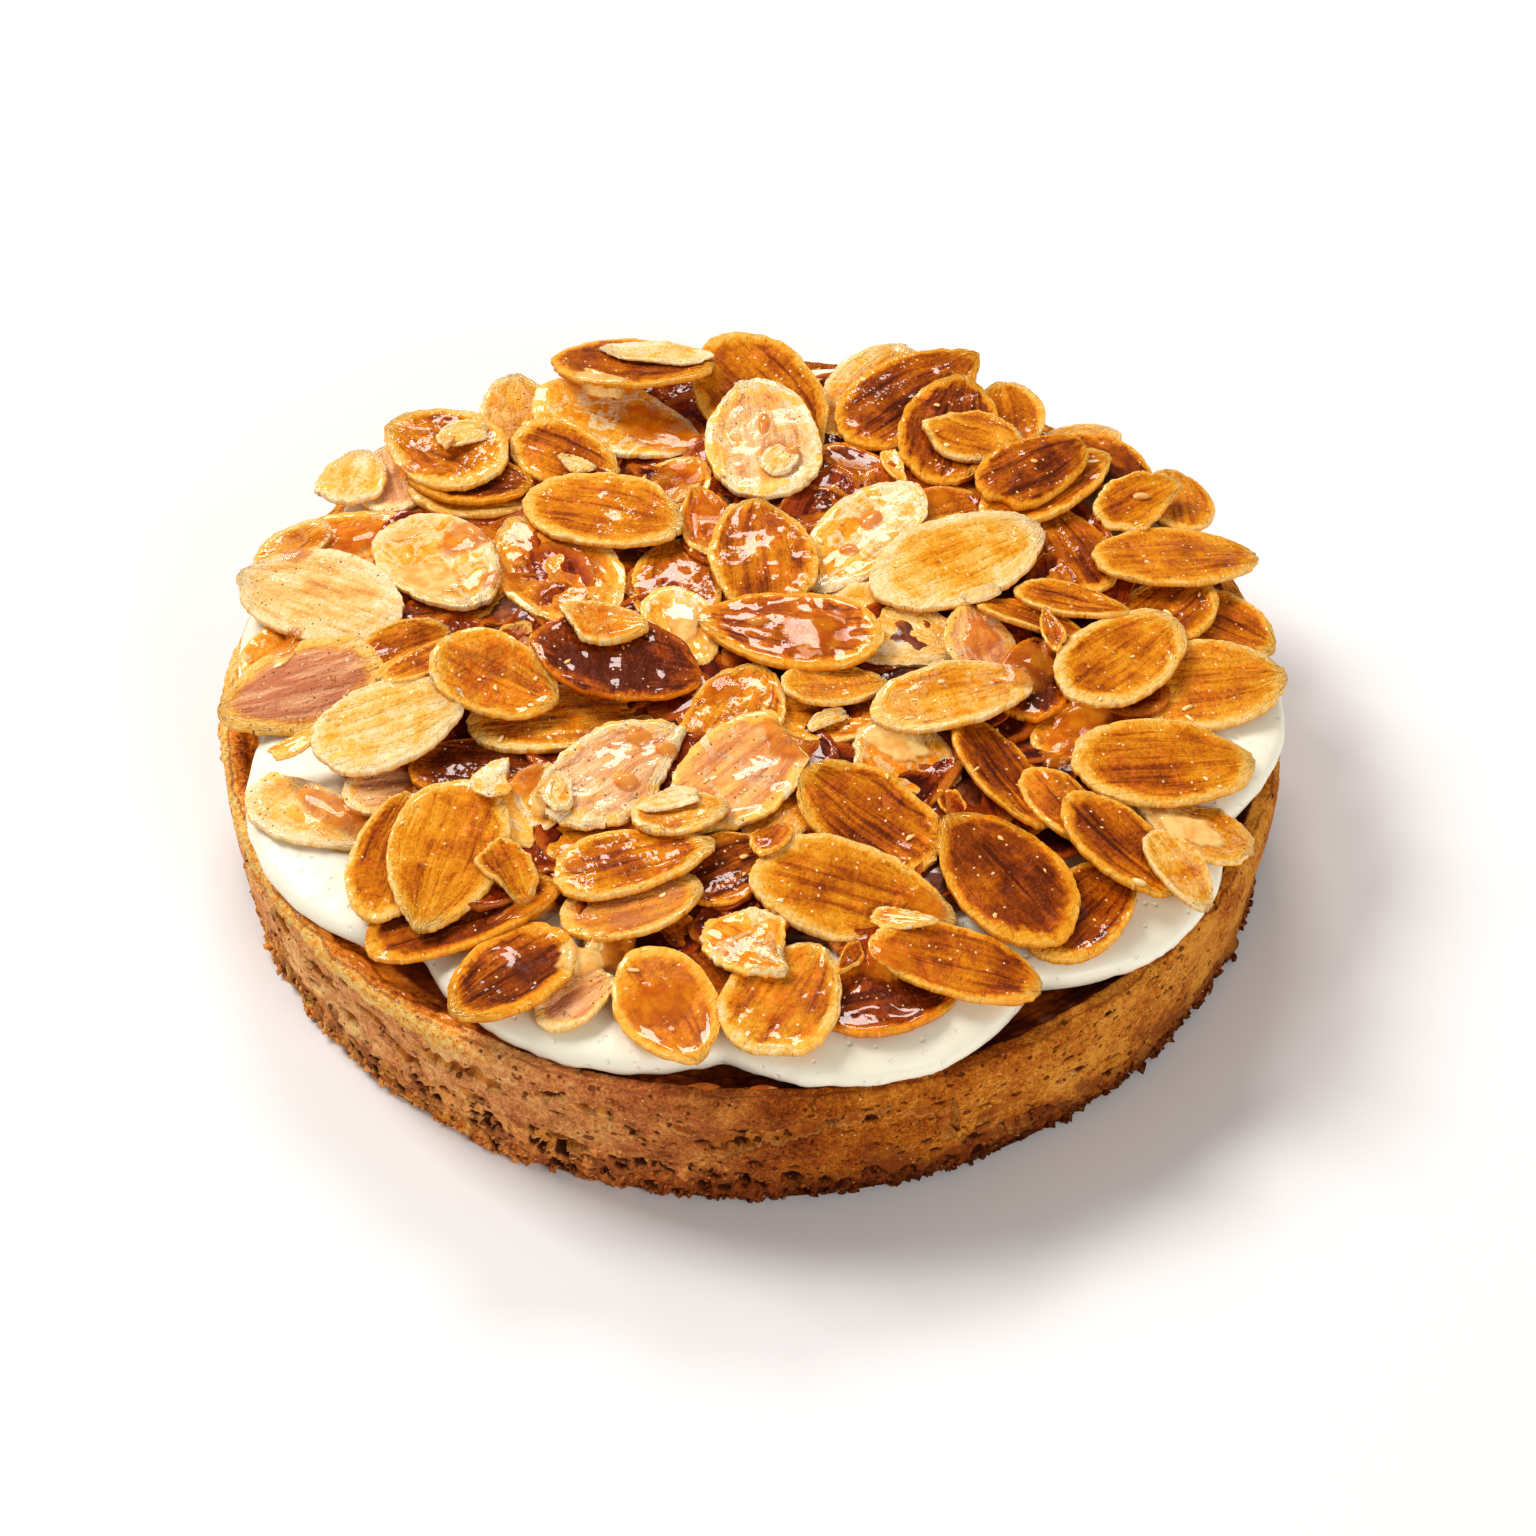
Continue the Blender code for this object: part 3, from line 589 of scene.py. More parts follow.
def crustMaterial():
    pastry = Recipe("browned_pastry", **{"Specular IOR Level": 0.12, "Coat Roughness": 0.10})
    place = pastry.place
    across, _, height = pastry.parts(place)
    left = pastry.ease(across + 0.010 * pastry.noise(place, 20 * mm, 2), 18 * mm, -36 * mm)
    right = 1 - left
    broad = pastry.noise(place, 13 * mm, 3)
    cloudy = pastry.noise(place, 4.0 * mm, 4, 0.6)
    grain = pastry.noise(place, 0.8 * mm, 4, 0.65)
    fine = pastry.noise(place, 0.35 * mm, 2, 0.6)
    long = pastry.noise(pastry.stretch(place, (1, 1, 2.0)), 2.0 * mm, 3, 0.6)
    # the skin, pinker on the left and paler there as painted light; painted shade on the front and
    # towards the foot, painted light on the right side
    toast = 0.55 * broad + 0.42 * cloudy + 0.20 * long + 0.62 * grain + 0.45 * fine - 0.49
    # painted shade darkens the front and painted light brightens the right side
    toast = toast + 0.05 * right - 0.02 * left - 0.19 * pastry.ease(across, 0.0, 48 * mm)
    toast = toast - 0.20 * right * (grain - 0.5)
    skinRight = pastry.shades(toast, crustShades["right"])
    colour = pastry.mix(left, skinRight, pastry.shades(toast, crustShades["left"]))
    low = 1 - pastry.ease(height + 0.004 * (cloudy - 0.5), 0.4 * mm, 6.5 * mm)
    # painted shade towards the foot, least on the lit left
    colour = pastry.mix(low * (0.9 - 0.72 * left), colour, tint(104, 48, 10))
    # bare crumb, paler on the lit left and darker low on the shaded side as painted light and shade, and
    # the torn places with a pale fringe
    bare = pastry.ease(pastry.stored("bare") + 0.6 * (grain - 0.5), 0.30, 0.60)
    # painted light on the left, painted shade low on the shaded side
    crumbTone = 0.8 * grain + 0.35 * cloudy + (0.36 - 0.34 * left) * low - 0.08 * left - 0.07
    colour = pastry.mix(bare * 0.85, colour, pastry.shades(crumbTone, crustShades["crumb"]))
    gap = pastry.stored("torn") + 0.6 * (grain - 0.5)
    torn = pastry.ease(gap, 0.35, 0.55)
    tornShade = pastry.mix(pastry.ease(cloudy, 0.35, 0.65), tint(238, 164, 76), tint(190, 106, 36))
    # painted shade: the torn places are darker on the shaded right
    tornShade = pastry.mix(left, pastry.mix(0.3, tornShade, tint(120, 60, 16)), tornShade)
    # the pale fringe is partly pale torn crumb and partly painted highlight, stronger on the lit left
    fringe = pastry.ease(gap, 0.12, 0.28) * (1 - torn)
    colour = pastry.mix(fringe * (0.3 + 0.4 * left), colour, tint(252, 198, 124))
    colour = pastry.mix(torn * 0.9, colour, tornShade)
    # the golden crest with a brown seam below it, and the caramel inside it, each paler on the lit left
    # and darker on the shaded right, partly their own colour and partly painted light and shade
    gold, outer, caramel = pastry.parts(pastry.stored("bands", 1))
    gold = pastry.ease(gold + 0.5 * (grain - 0.5), 0.30, 0.62)
    # painted light: the gold is paler on the left and darker on the right
    goldTone = 0.4 * cloudy + 0.85 * grain + 0.4 * fine + 0.40 * right + 0.32 * (1 - outer)
    colour = pastry.mix(gold * 0.92, colour, pastry.shades(goldTone - 0.41, crustShades["gold"]))
    seam = pastry.ease(outer, 0.74, 0.84) * pastry.ease(outer, 0.97, 0.90)
    seam = seam * pastry.ease(cloudy, 0.38, 0.5)
    colour = pastry.mix(seam * 0.7, colour, pastry.mix(left, tint(134, 66, 28), tint(172, 98, 62)))
    # painted light on the left and painted shade on the right in the caramel
    caramelTone = 0.9 * cloudy + 0.3 * grain + 0.10 * right - 0.14 * left
    caramel = pastry.ease(caramel + 0.5 * (grain - 0.5) + 0.3 * (cloudy - 0.5), 0.35, 0.62)
    colour = pastry.mix(caramel, colour, pastry.shades(caramelTone, crustShades["caramel"]))
    # pits painted dark as painted shade with pale lips as painted highlight, painted shade in the slits
    # and holes, and dark and pale specks
    skin = (1 - caramel) * (1 - 0.7 * gold)
    hollows = pastry.ease(pitCrust(pastry, bare, grain, left) * skin, 0.0, 1.0)
    # painted highlight on the pits' pale lips, brighter on the lit left
    litLip = pastry.ease(grain + 0.5 * hollows, 0.58, 0.72) * (1 - hollows)
    lipShade = pastry.mix(left, tint(238, 178, 84), tint(252, 204, 120))
    colour = pastry.mix(litLip * 0.4 * skin, colour, lipShade)
    # painted shade in the pits, lighter on the lit left
    colour = pastry.mix(hollows * 0.8, colour, pastry.mix(left, tint(90, 38, 10), tint(124, 58, 26)))
    # painted shade in the slits, pits, holes and torn places
    colour = pastry.mix(pastry.ease(pastry.stored("pores"), 0.15, 0.55) * 0.94, colour, tint(70, 28, 8))
    speck = pastry.ease(pastry.spots(place, 0.9 * mm), 0.16, 0.09)
    pick = pastry.parts(pastry.spots(place, 0.9 * mm, 1))
    colour = pastry.mix(speck * pastry.ease(pick[0], 0.76, 0.80) * 0.8, colour, tint(110, 50, 18))
    pale = speck * pastry.ease(pick[1], 0.72, 0.76) * pastry.ease(pick[0], 0.70, 0.66)
    pastry.feed("Base Color", pastry.mix(pale * 0.7, colour, tint(255, 226, 170)))
    # the caramel is wet in patches, and the gold sparkles
    wet = caramel * pastry.ease(pastry.noise(place, 2.6 * mm, 3), 0.40, 0.56)
    dry = 1 - 0.9 * wet
    pastry.feed("Coat Weight", wet + gold * pastry.ease(fine, 0.58, 0.68) * 0.8)
    pastry.feed("Roughness", 0.72 - 0.3 * wet)
    relief = pastry.bump((cloudy - 0.5 + 0.3 * long) * dry, 0.8 * mm, 0.8)
    relief = pastry.bump((grain - 0.5 - 1.3 * hollows) * dry, 0.55 * mm, 1.0, relief)
    relief = pastry.bump((fine - 0.5) * (1 + 1.5 * gold) * dry, 0.16 * mm, 1.0, relief)
    wavy = pastry.noise(place, 1.5 * mm, 2)
    pastry.feed("Normal", pastry.bump((wavy - 0.5) * wet, 0.5 * mm, 1.0, relief))
    return pastry.material


def makeCrust():
    mesh = turned("tart_crust", crustLine, crust["turns"])
    shapeCrust(mesh)
    material = crustMaterial()
    piece = addPiece("tart_crust", mesh, material, "pastry_case")
    makeFootCrumbs(piece, material)
    return piece


def makeFootCrumbs(piece, material):  # bits of pastry that cling to the torn foot
    random = np.random.default_rng(crust["seed"])
    tree = BVHTree.FromObject(piece, bpy.context.evaluated_depsgraph_get())
    ball, faces = roundBit(1)
    parts = []
    for number in range(crust["crumbs"]):
        turn = random.uniform(-math.pi, math.pi)
        height = 0.25 + 3.6 * random.uniform(0, 1) ** 2.2  # most lie low
        size = random.uniform(0.14, 0.44) * (1.2 - 0.12 * height)
        outward = Vector((math.cos(turn), math.sin(turn), 0))
        start = outward * 0.07 + Vector((0, 0, height * mm))
        spot = tree.ray_cast(start, -outward)[0]
        if spot is None:
            continue
        shaped = ball * (1 + 0.8 * lumps(ball + 7.3 * number, 0.7))[:, None]
        shaped = shaped * size * random.uniform(0.6, 1.3, 3)
        spin = Matrix.Rotation(random.uniform(0, 6.28), 3, Vector(random.uniform(-1, 1, 3)))
        shaped = shaped @ np.array(spin) + np.array(spot) / mm + 0.15 * size * np.array(outward)
        shaped[:, 2] = np.maximum(shaped[:, 2], 0.0)
        parts.append((shaped, faces))
    mesh = joined("pastry_crumbs", parts)
    count = len(mesh.vertices)
    for name, value in (("bare", 1.0), ("torn", 0.0), ("pores", 0.0)):
        paint(mesh, name, np.full(count, value))
    paint(mesh, "bands", np.zeros((count, 3)))
    addPiece("pastry_crumbs", mesh, material, "pastry_case")


# Baked filling, seen in the groove between pastry and cream
filling = {"turns": 420, "waves": 0.28, "seed": 31}
fillingLine = [
    (0.0, 14.7, 22.0), (44.0, 14.7, 0.9), (51.0, 15.0, 0.5), (53.5, 15.4, 0.4), (54.9, 15.7, 0.4),
    (55.2, 15.0, 0.8), (55.0, 14.2, 4.0), (54.9, 5.8, 1.5), (53.2, 4.3, 9.0), (30.0, 4.3, 30.0),
    (0.0, 4.3, 0.0),
]


def fillingMaterial():
    baked = Recipe("baked_filling", **{"Coat Roughness": 0.12})
    cloudy = baked.noise(baked.place, 3.5 * mm, 4, 0.6)
    grain = baked.noise(baked.place, 0.8 * mm, 3, 0.6)
    colour = baked.shades(cloudy + 0.3 * grain, [
        (0.42, 230, 142, 44), (0.60, 176, 92, 20), (0.80, 104, 42, 6),
    ])
    baked.feed("Base Color", colour)
    baked.feed("Coat Weight", baked.ease(cloudy, 0.38, 0.6))
    baked.feed("Roughness", 0.5 - 0.25 * cloudy)
    baked.feed("Normal", baked.bump(grain, 0.25 * mm, 0.8))
    return baked.material


def makeFilling():
    mesh = turned("tart_filling", fillingLine, filling["turns"])
    points = pointsOf(mesh)
    shown = ease(points[:, 2], 13.0, 14.2) * ease(radiusOf(points), 40, 46)
    points[:, 2] += shown * filling["waves"] * layered(points, 3.5, filling["seed"]) - 0.1 * shown
    movePoints(mesh, points)
    addPiece("tart_filling", mesh, fillingMaterial(), "baked_filling")


# Whipped cream
cream = {
    "bottom": 15.0,
    "top": 21.7,
    "widest": 18.9,  # height at which the dollops are widest
    "under": 3.9,  # how far they reach below that
    "ring": 39.0,  # radius at which they start
    "plump": 2.7,  # 2 is a ball, more is fuller
    "middle": 44.0,  # radius of the flat middle
    "grid": 0.56,  # how fine the joined surface is
    "seed": 51,
}
# Each dollop: direction in degrees, how far it reaches from the middle, half its width, how much
# higher or lower than the others it lies
dollops = [
    (30, 58.0, 22.5, 0.0), (67, 57.4, 22.5, 0.2), (103, 58.0, 23.0, -0.1), (138, 57.6, 22.5, 0.15),
    (172, 58.8, 22.5, -0.15), (208, 59.6, 23.0, 0.2), (249.5, 58.0, 22.5, -0.15), (284, 59.3, 21.5, 0.2),
    (321, 59.5, 20.5, -0.1), (353, 59.8, 22.5, 0.15),
]
creamRim = {  # the lowest that the cream comes at each radius, so that it lies on the filling
    "radius": (53.0, 54.6, 55.8, 56.8, 57.8, 58.8, 59.6),
    "height": (15.6, 16.1, 16.7, 17.2, 17.6, 17.8, 17.8),
}


def creamShape():  # plump dollops in a ring round a flat middle
    bm = bmesh.new()
    bmesh.ops.create_uvsphere(bm, u_segments=96, v_segments=40, radius=1.0)
    ball, triangles = takeShape(bm)
    high = cream["top"] - 0.9
    low = cream["bottom"] - 1.0
    bmesh.ops.create_cone(
        bm, cap_ends=True, segments=90, radius1=cream["middle"], radius2=cream["middle"],
        depth=high - low, matrix=Matrix.Translation((0, 0, 0.5 * (high + low))),
    )
    parts = [takeShape(bm)]
    bm.free()
    plump = cream["plump"]
    full = np.hypot(ball[:, 0], ball[:, 1]) ** plump + np.abs(ball[:, 2]) ** plump
    ball /= (full ** (1 / plump))[:, None]
    for degrees, reach, wide, lift in dollops:
        turn = math.radians(degrees)
        out = cream["ring"] + ball[:, 0] * (reach - cream["ring"])
        beside = ball[:, 1] * wide
        tall = np.where(ball[:, 2] > 0, cream["top"] - cream["widest"], cream["under"])
        height = cream["widest"] + ball[:, 2] * tall + lift * np.clip((out - 40) / 10, 0, 1)
        x = out * math.cos(turn) - beside * math.sin(turn)
        y = out * math.sin(turn) + beside * math.cos(turn)
        parts.append((np.stack((x, y, height), 1), triangles))
    return joined("cream", parts)


def creamMaterial():
    whipped = Recipe("whipped_cream", **{
        "Subsurface Weight": 0.35, "Subsurface Radius": (1.0, 0.9, 0.7), "Subsurface Scale": 0.0018,
        "Coat Weight": 0.12, "Coat Roughness": 0.25,
    })
    cloudy = whipped.noise(whipped.place, 7 * mm, 2)
    colour = whipped.mix(cloudy, tint(249, 244, 226), tint(244, 238, 216))
    speck = whipped.ease(whipped.spots(whipped.place, 3.2 * mm), 0.05, 0.03)
    colour = whipped.mix(speck * 0.5, colour, tint(214, 196, 160))
    whipped.feed("Base Color", colour)
    whipped.feed("Roughness", 0.36 + 0.16 * cloudy)
    relief = whipped.bump(whipped.noise(whipped.place, 1.6 * mm, 3), 0.10 * mm, 0.5)
    bubble = whipped.ease(whipped.spots(whipped.place, 1.7 * mm), 0.10, 0.20)
    whipped.feed("Normal", whipped.bump(bubble, 0.16 * mm, 0.8, relief))
    return whipped.material


def makeCream():
    rough = bpy.data.objects.new("rough_cream", creamShape())
    remesh = rough.modifiers.new("join", "REMESH")
    remesh.mode = "VOXEL"
    remesh.voxel_size = cream["grid"] * mm
    smooth = rough.modifiers.new("soften", "SMOOTH")
    smooth.factor = 0.5
    smooth.iterations = 3
    mesh = copyShape(rough, "piped_cream")
    points = pointsOf(mesh)
    radius = radiusOf(points)
    seed = cream["seed"]
    push = 0.32 * layered(points, 10, seed) + 0.10 * lumps(points, 2.6, seed + 3)
    push += 0.14 * lumps(points, 4.6, seed + 6)
    bubbles, number = pebbles(points, 2.6, seed + 4)
    push -= 0.26 * np.clip(1 - (bubbles / 0.2) ** 2, 0, 1) * (number > 0.6)
    push += 0.18 * ease(18.6 - points[:, 2], 0.0, 1.2) * lumps(points, (1.3, 1.3, 3), seed + 5)
    away = ease(radius, 25, 48)  # the middle, under the almonds, stays flat
    normals = np.empty(len(mesh.vertices) * 3)
    mesh.vertices.foreach_get("normal", normals)
    points += normals.reshape(-1, 3) * (push * away)[:, None]
    radius = radiusOf(points)
    points[:, 2] = np.maximum(points[:, 2], np.interp(radius, creamRim["radius"], creamRim["height"]))
    movePoints(mesh, points)
    return addPiece("piped_cream", mesh, creamMaterial(), "whipped_cream")


# Sliced almonds
heap = {
    "coreRadius": 44.0,
    "coreEdge": 1.3,  # height of the core's edge above the cream
    "coreRise": 1.4,  # how much higher its middle is
    "thick": 1.15,  # of one flake
    "sink": 0.45,  # how deep the lowest flakes are set into the core
    "gap": 0.3,  # left above the cream
    "cell": 0.75,  # spacing of the points at which a flake feels what is below it
    "propFree": 0.01,  # how firmly a flake keeps its lean
    "propHeld": 0.5,
    "contact": 2000.0,  # how hard what lies below pushes it up
    "steps": 40,  # in which it comes to rest
    "steepest": math.tan(math.radians(15)),  # slope at which neighbours stop a free flake from tipping
    "bedTurns": 300,
    "sunk": 140,  # flakes half covered by the caramel
    "sunkReach": 43.0,
    "seed": 71,
}
goldenAngle = 2.39996  # radians, for an even spread


def flake(x, y, length, width, heading, toast, back=None, right=None, **looks):
    place = {"x": x, "y": y, "length": length, "width": width, "heading": heading, "toast": toast}
    usual = {"blush": 0.0, "wet": 0.3, "ridge": 0.45, "ragged": 0.3, "thick": 1.0, "bubbly": 0.0}
    return {**place, "back": back, "right": right, "cup": None, "bites": (), **usual, **looks}


# Each flake, in the order in which they were strewn: middle, length and width in mm, heading of the
# narrow end in degrees, how browned it is from 0 to 1, then how many degrees a propped one leans back
# and right
lowest = [
    flake(-42.4, 31.5, 13, 8.5, 100, 0.25, blush=0.7),
    flake(-28.0, 40.2, 13.5, 9, 95, 0.34, 12, 0, blush=0.4),
    flake(-32.6, 27.4, 16, 9.5, -10, 0.50),
    flake(14.6, 43.6, 17.5, 10.5, 58, 0.32, 12, 0),
    flake(31.2, 41.2, 11, 8, 95, 0.50, 10, 0),
    flake(39.0, 36.5, 15, 9, 50, 0.35),
    flake(50.6, 28.2, 12.5, 8.5, 88, 0.48),
    flake(36.5, 17.0, 16, 10.5, 110, 0.62, ridge=0.9),
    flake(-8.5, 10.0, 16, 10.5, 95, 0.62, wet=0.5),
    flake(-46.5, 20.0, 18, 10.5, 15, 0.42, wet=0.9),
    flake(-53.0, 18.5, 11, 6.5, 50, 0.38),
    flake(-35.5, 8.0, 15, 9, 5, 0.66, wet=0.6),
    flake(-53.6, 2.0, 8.6, 7, 40, 0.38, wet=0.8),
    flake(-39.0, 0.5, 11, 7, 20, 0.56),
    flake(-27.5, 0.0, 10, 6, 70, 0.50, blush=0.6, ragged=0.9),
    flake(15.2, 2.6, 18, 12, -25, 0.22, ragged=0.8, ridge=0.7, wet=0.1),
    flake(8.6, -11.4, 12, 8, -5, 0.46),
    flake(-2.0, -11.5, 16, 11, 65, 0.46, wet=0.4),
    flake(25.5, 0.0, 12, 8, 100, 0.30, blush=0.8, wet=0.8),
    flake(53.4, 6.0, 13.5, 10.5, -30, 0.56),
    flake(47.0, 6.5, 14, 10, 45, 0.60),
    flake(16.0, -17.5, 15, 10, -35, 0.38, ragged=0.9, wet=0.7),
    flake(34.8, -37.2, 17, 9.5, 50, 0.68, wet=0.4),
    flake(47.8, -25.7, 13, 9, -24, 0.38, ragged=0.9),
    flake(13.6, -50.0, 15, 9, 12, 0.78, wet=0.8, bubbly=0.8),
    flake(-18.2, -49.4, 9, 6, 35, 0.40, blush=0.7),
    flake(-30.3, -38.2, 21.5, 8.5, 17, 0.74, ridge=0.6, cup=0.8),
    flake(-47.0, -22.9, 17, 10, -32, 0.20, blush=0.3, ragged=0.6),
    flake(-38.5, -21.0, 11, 8, 10, 0.36, blush=0.7),
    flake(-29.0, -19.0, 16, 9, 0, 0.80),
    flake(4.0, -24.0, 15, 7, 60, 0.36),
    flake(-15.5, -29.5, 14, 7, -3, 0.50),
    flake(-2.5, -33.5, 11, 8.5, 30, 0.70, wet=0.5),
    flake(-9.0, 28.0, 11, 8, 60, 0.45, wet=0.8),
    flake(-5.5, 20.5, 12, 6.5, 100, 0.50, wet=0.9, ragged=0.6),
    flake(5.5, 23.5, 13, 8, 8, 0.80),
    flake(12.5, 30.0, 12, 7.6, -36, 0.75, wet=0.8),
    flake(23.0, 23.0, 12, 8, 20, 0.52, wet=0.4),
    flake(36.0, -12.5, 13, 9, 40, 0.50, wet=0.9, ragged=0.7),
    flake(31.0, -6.0, 13, 8, 80, 0.80, wet=1.0),
]
middle = [
    flake(-47.3, 31.0, 11, 8.5, 80, 0.22, ragged=0.7),
    flake(-33.0, 28.5, 15, 9, -14, 0.75),
    flake(-15.8, 38.6, 21, 12.4, -20, 0.30, wet=0.7),
    flake(1.4, 41.6, 19.5, 13.5, -48, 0.58, 18, 0),
    flake(19.2, 42.0, 21, 11, 38, 0.70, 9, 0, ridge=0.9),
    flake(42.2, 31.8, 14.5, 9.5, -50, 0.70),
    flake(34.6, 26.4, 19.5, 9, 38, 0.58),
    flake(45.5, 24.5, 12, 8, 35, 0.50, ragged=0.8),
    flake(24.0, 13.0, 22, 13, 30, 0.28, ridge=0.2, wet=0.0),
    flake(-22.5, 13.0, 21.5, 13.3, 122, 0.44, wet=0.6, bubbly=0.4),
    flake(-36.5, -3.4, 12, 6, 38, 0.45, -17, -13, ridge=0.2),
    flake(-35.0, -5.8, 13, 6, 34, 0.55, -17, -12, ridge=0.2),
    flake(-20.5, -11.5, 22, 10.5, 8, 0.45, wet=0.5, bubbly=0.4),
    flake(-7.8, 2.0, 12, 8, -65, 0.22, wet=0.9),
    flake(31.5, 3.6, 13, 6, -26, 0.58, -19, 10),
    flake(36.2, 6.8, 13, 6.6, -18, 0.55, -14, 5),
    flake(50.0, -4.9, 20, 12.3, 12, 0.45, ridge=0.9),
    flake(27.0, -20.4, 18.5, 8, -64, 0.65, -9, 20),
    flake(12.4, -26.8, 18, 11.8, 140, 0.62, ridge=1.0, ragged=0.5),
    flake(-7.2, -45.5, 16, 9.2, -48, 0.60, ridge=0.9),
    flake(-8.8, -51.4, 14.6, 9.6, -58, 0.50, wet=1.0, blush=0.4),
    flake(3.3, -50.5, 15, 11.5, 60, 0.46, ridge=1.0, wet=0.6),
    flake(-38.0, -31.0, 16, 8.6, 78, 0.50),
    flake(-23.5, -24.5, 11, 6.4, 70, 0.18, wet=0.7),
    flake(-12.7, -38.5, 15, 10.5, 10, 0.50, blush=0.5),
    flake(33.2, -25.2, 12.5, 7.5, -60, 0.55, wet=0.5),
]
upper = [
    flake(-36.0, 32.6, 15.5, 12.4, 150, 0.52, 4, 0),
    flake(-22.1, 32.0, 14, 8.2, -28, 0.60),
    flake(-14.2, 45.0, 20, 11, -5, 0.66, -12, 0),
    flake(12.6, 17.5, 21, 10.2, 234, 0.22, wet=0.6),
    flake(1.2, 13.5, 18, 12, 95, 0.55, wet=0.5),
    flake(-17.0, 21.5, 20, 12, -22, 0.50),
    flake(-36.0, 14.4, 19.5, 12.6, -55, 0.27, wet=0.5),
    flake(-49.5, 8.7, 21, 12.8, 152, 0.17, blush=0.42, wet=0.0),
    flake(-50.2, -5.0, 19, 11.8, 194, 0.52, blush=0.9, wet=0.0),
    flake(-28.0, -9.0, 14, 11, -20, 0.46, wet=0.7, blush=0.2, bubbly=0.6),
    flake(9.0, -7.6, 12, 7, 8, 0.42),
    flake(21.8, -10.2, 18.8, 9.6, 20, 0.38, ridge=1.0),
    flake(49.0, 15.6, 20.2, 11.6, 13, 0.50, ridge=0.9),
    flake(41.0, -3.0, 19, 11, 46, 0.50),
    flake(38.9, -30.8, 15.6, 9.3, -48, 0.65),
    flake(44.7, -17.6, 20.6, 12, 10, 0.52, ridge=0.6),
    flake(10.4, -37.2, 21.8, 11.2, -14, 0.50),
    flake(21.0, -46.0, 18, 9.3, -12, 0.56, wet=0.5),
    flake(-25.0, -46.5, 15, 10.7, 215, 0.72, ridge=1.0, wet=0.4),
    flake(-12.8, -33.3, 17, 9, 12, 0.55, wet=0.5),
    flake(-14.7, -20.5, 19.5, 11.8, 42, 0.27, blush=0.75, wet=0.5, ragged=0.7),
    flake(-1.2, -20.7, 19, 11.8, 45, 0.34, blush=0.7, wet=0.8, ragged=0.5, bubbly=0.3),
    flake(-7.7, -27.2, 10.5, 6.4, 8, 0.40),
]
topmost = [
    flake(1.2, 33.4, 18.5, 13, 95, 0.25, 9, 0, blush=0.6, wet=0.5),
    flake(23.6, 35.4, 17, 11.6, 75, 0.70, 9, 0),
    flake(26.6, 33.4, 13.5, 8, -24, 0.46, ragged=0.8),
    flake(33.2, 27.6, 15.5, 8.6, 34, 0.70, bites=((205, 0.16, 0.25),)),
    flake(-15.0, -5.0, 19, 12, -3, 0.84, wet=1.0, bubbly=1.0),
    flake(-16.5, -1.2, 10.5, 6, 3, 0.42, wet=0.6, ragged=0.5),
    flake(4.4, 0.3, 20.5, 12, 172, 0.62, wet=0.9, bubbly=0.3),
    flake(-39.4, -14.5, 16.8, 10.6, 14, 0.16, wet=0.1),
    flake(-32.3, -31.6, 19.4, 11.8, 255, 0.50, ridge=0.8),
    flake(-26.0, -34.2, 9, 6, -60, 0.50, ragged=1.0),
    flake(26.3, -34.7, 19.2, 12.5, 125, 0.71, ridge=0.6),
    flake(44.8, -33.6, 11, 5.8, -62, 0.36, ragged=0.4),
    flake(-0.2, -44.2, 11.5, 8.6, -40, 0.38, wet=0.7, ragged=1.0),
]
chips = [
    flake(-34.0, 33.5, 6.5, 4, 20, 0.20, thick=0.6, ragged=1.0),
    flake(-20.5, 29.8, 5, 2.4, -20, 0.20, thick=0.6, ragged=1.0),
    flake(-11.5, 46.2, 14, 5.5, 172, 0.16, thick=0.6, ragged=0.8),
    flake(3.5, 29.5, 5.5, 4, 60, 0.15, thick=0.5, ragged=1.0),
    flake(17.0, 30.5, 7, 3, 110, 0.20, thick=0.6, ragged=1.0, wet=0.8),
    flake(25.5, 6.5, 6, 2.2, 20, 0.15, thick=0.6, ragged=1.0),
    flake(33.5, 0.0, 7, 2.6, 100, 0.50, thick=0.7, ragged=0.8, wet=0.8),
    flake(8.5, -12.5, 5.5, 2.6, 30, 0.18, thick=0.5, ragged=1.0),
    flake(-8.5, -26.0, 8, 3.2, 8, 0.12, thick=0.5, ragged=0.8),
    flake(15.0, -41.0, 8, 3, -8, 0.30, thick=0.5, ragged=1.0, wet=0.8),
    flake(-50.0, -16.5, 6.5, 2.6, 20, 0.24, thick=0.6, ragged=0.8, wet=0.8),
    flake(-20.5, -24.5, 6.5, 4, 110, 0.18, thick=0.5, ragged=1.0),
    flake(2.0, -31.0, 6, 4, 60, 0.60, thick=0.7, ragged=1.0, wet=0.6),
    flake(10.0, -45.5, 6, 2.6, 60, 0.65, thick=0.6, ragged=1.0),
    flake(21.5, -24.5, 5.5, 2.6, -60, 0.55, thick=0.6, ragged=1.0, wet=0.8),
    flake(-27.5, -22.5, 6.5, 4.6, 60, 0.18, thick=0.6, ragged=0.9, wet=0.6),
]
flakes = lowest + middle + upper + topmost + chips


def coreTop(radius):
    bulge = np.clip(1 - (radius / heap["coreRadius"]) ** 2, 0, 1)
    return cream["top"] + heap["gap"] + heap["coreEdge"] + heap["coreRise"] * bulge


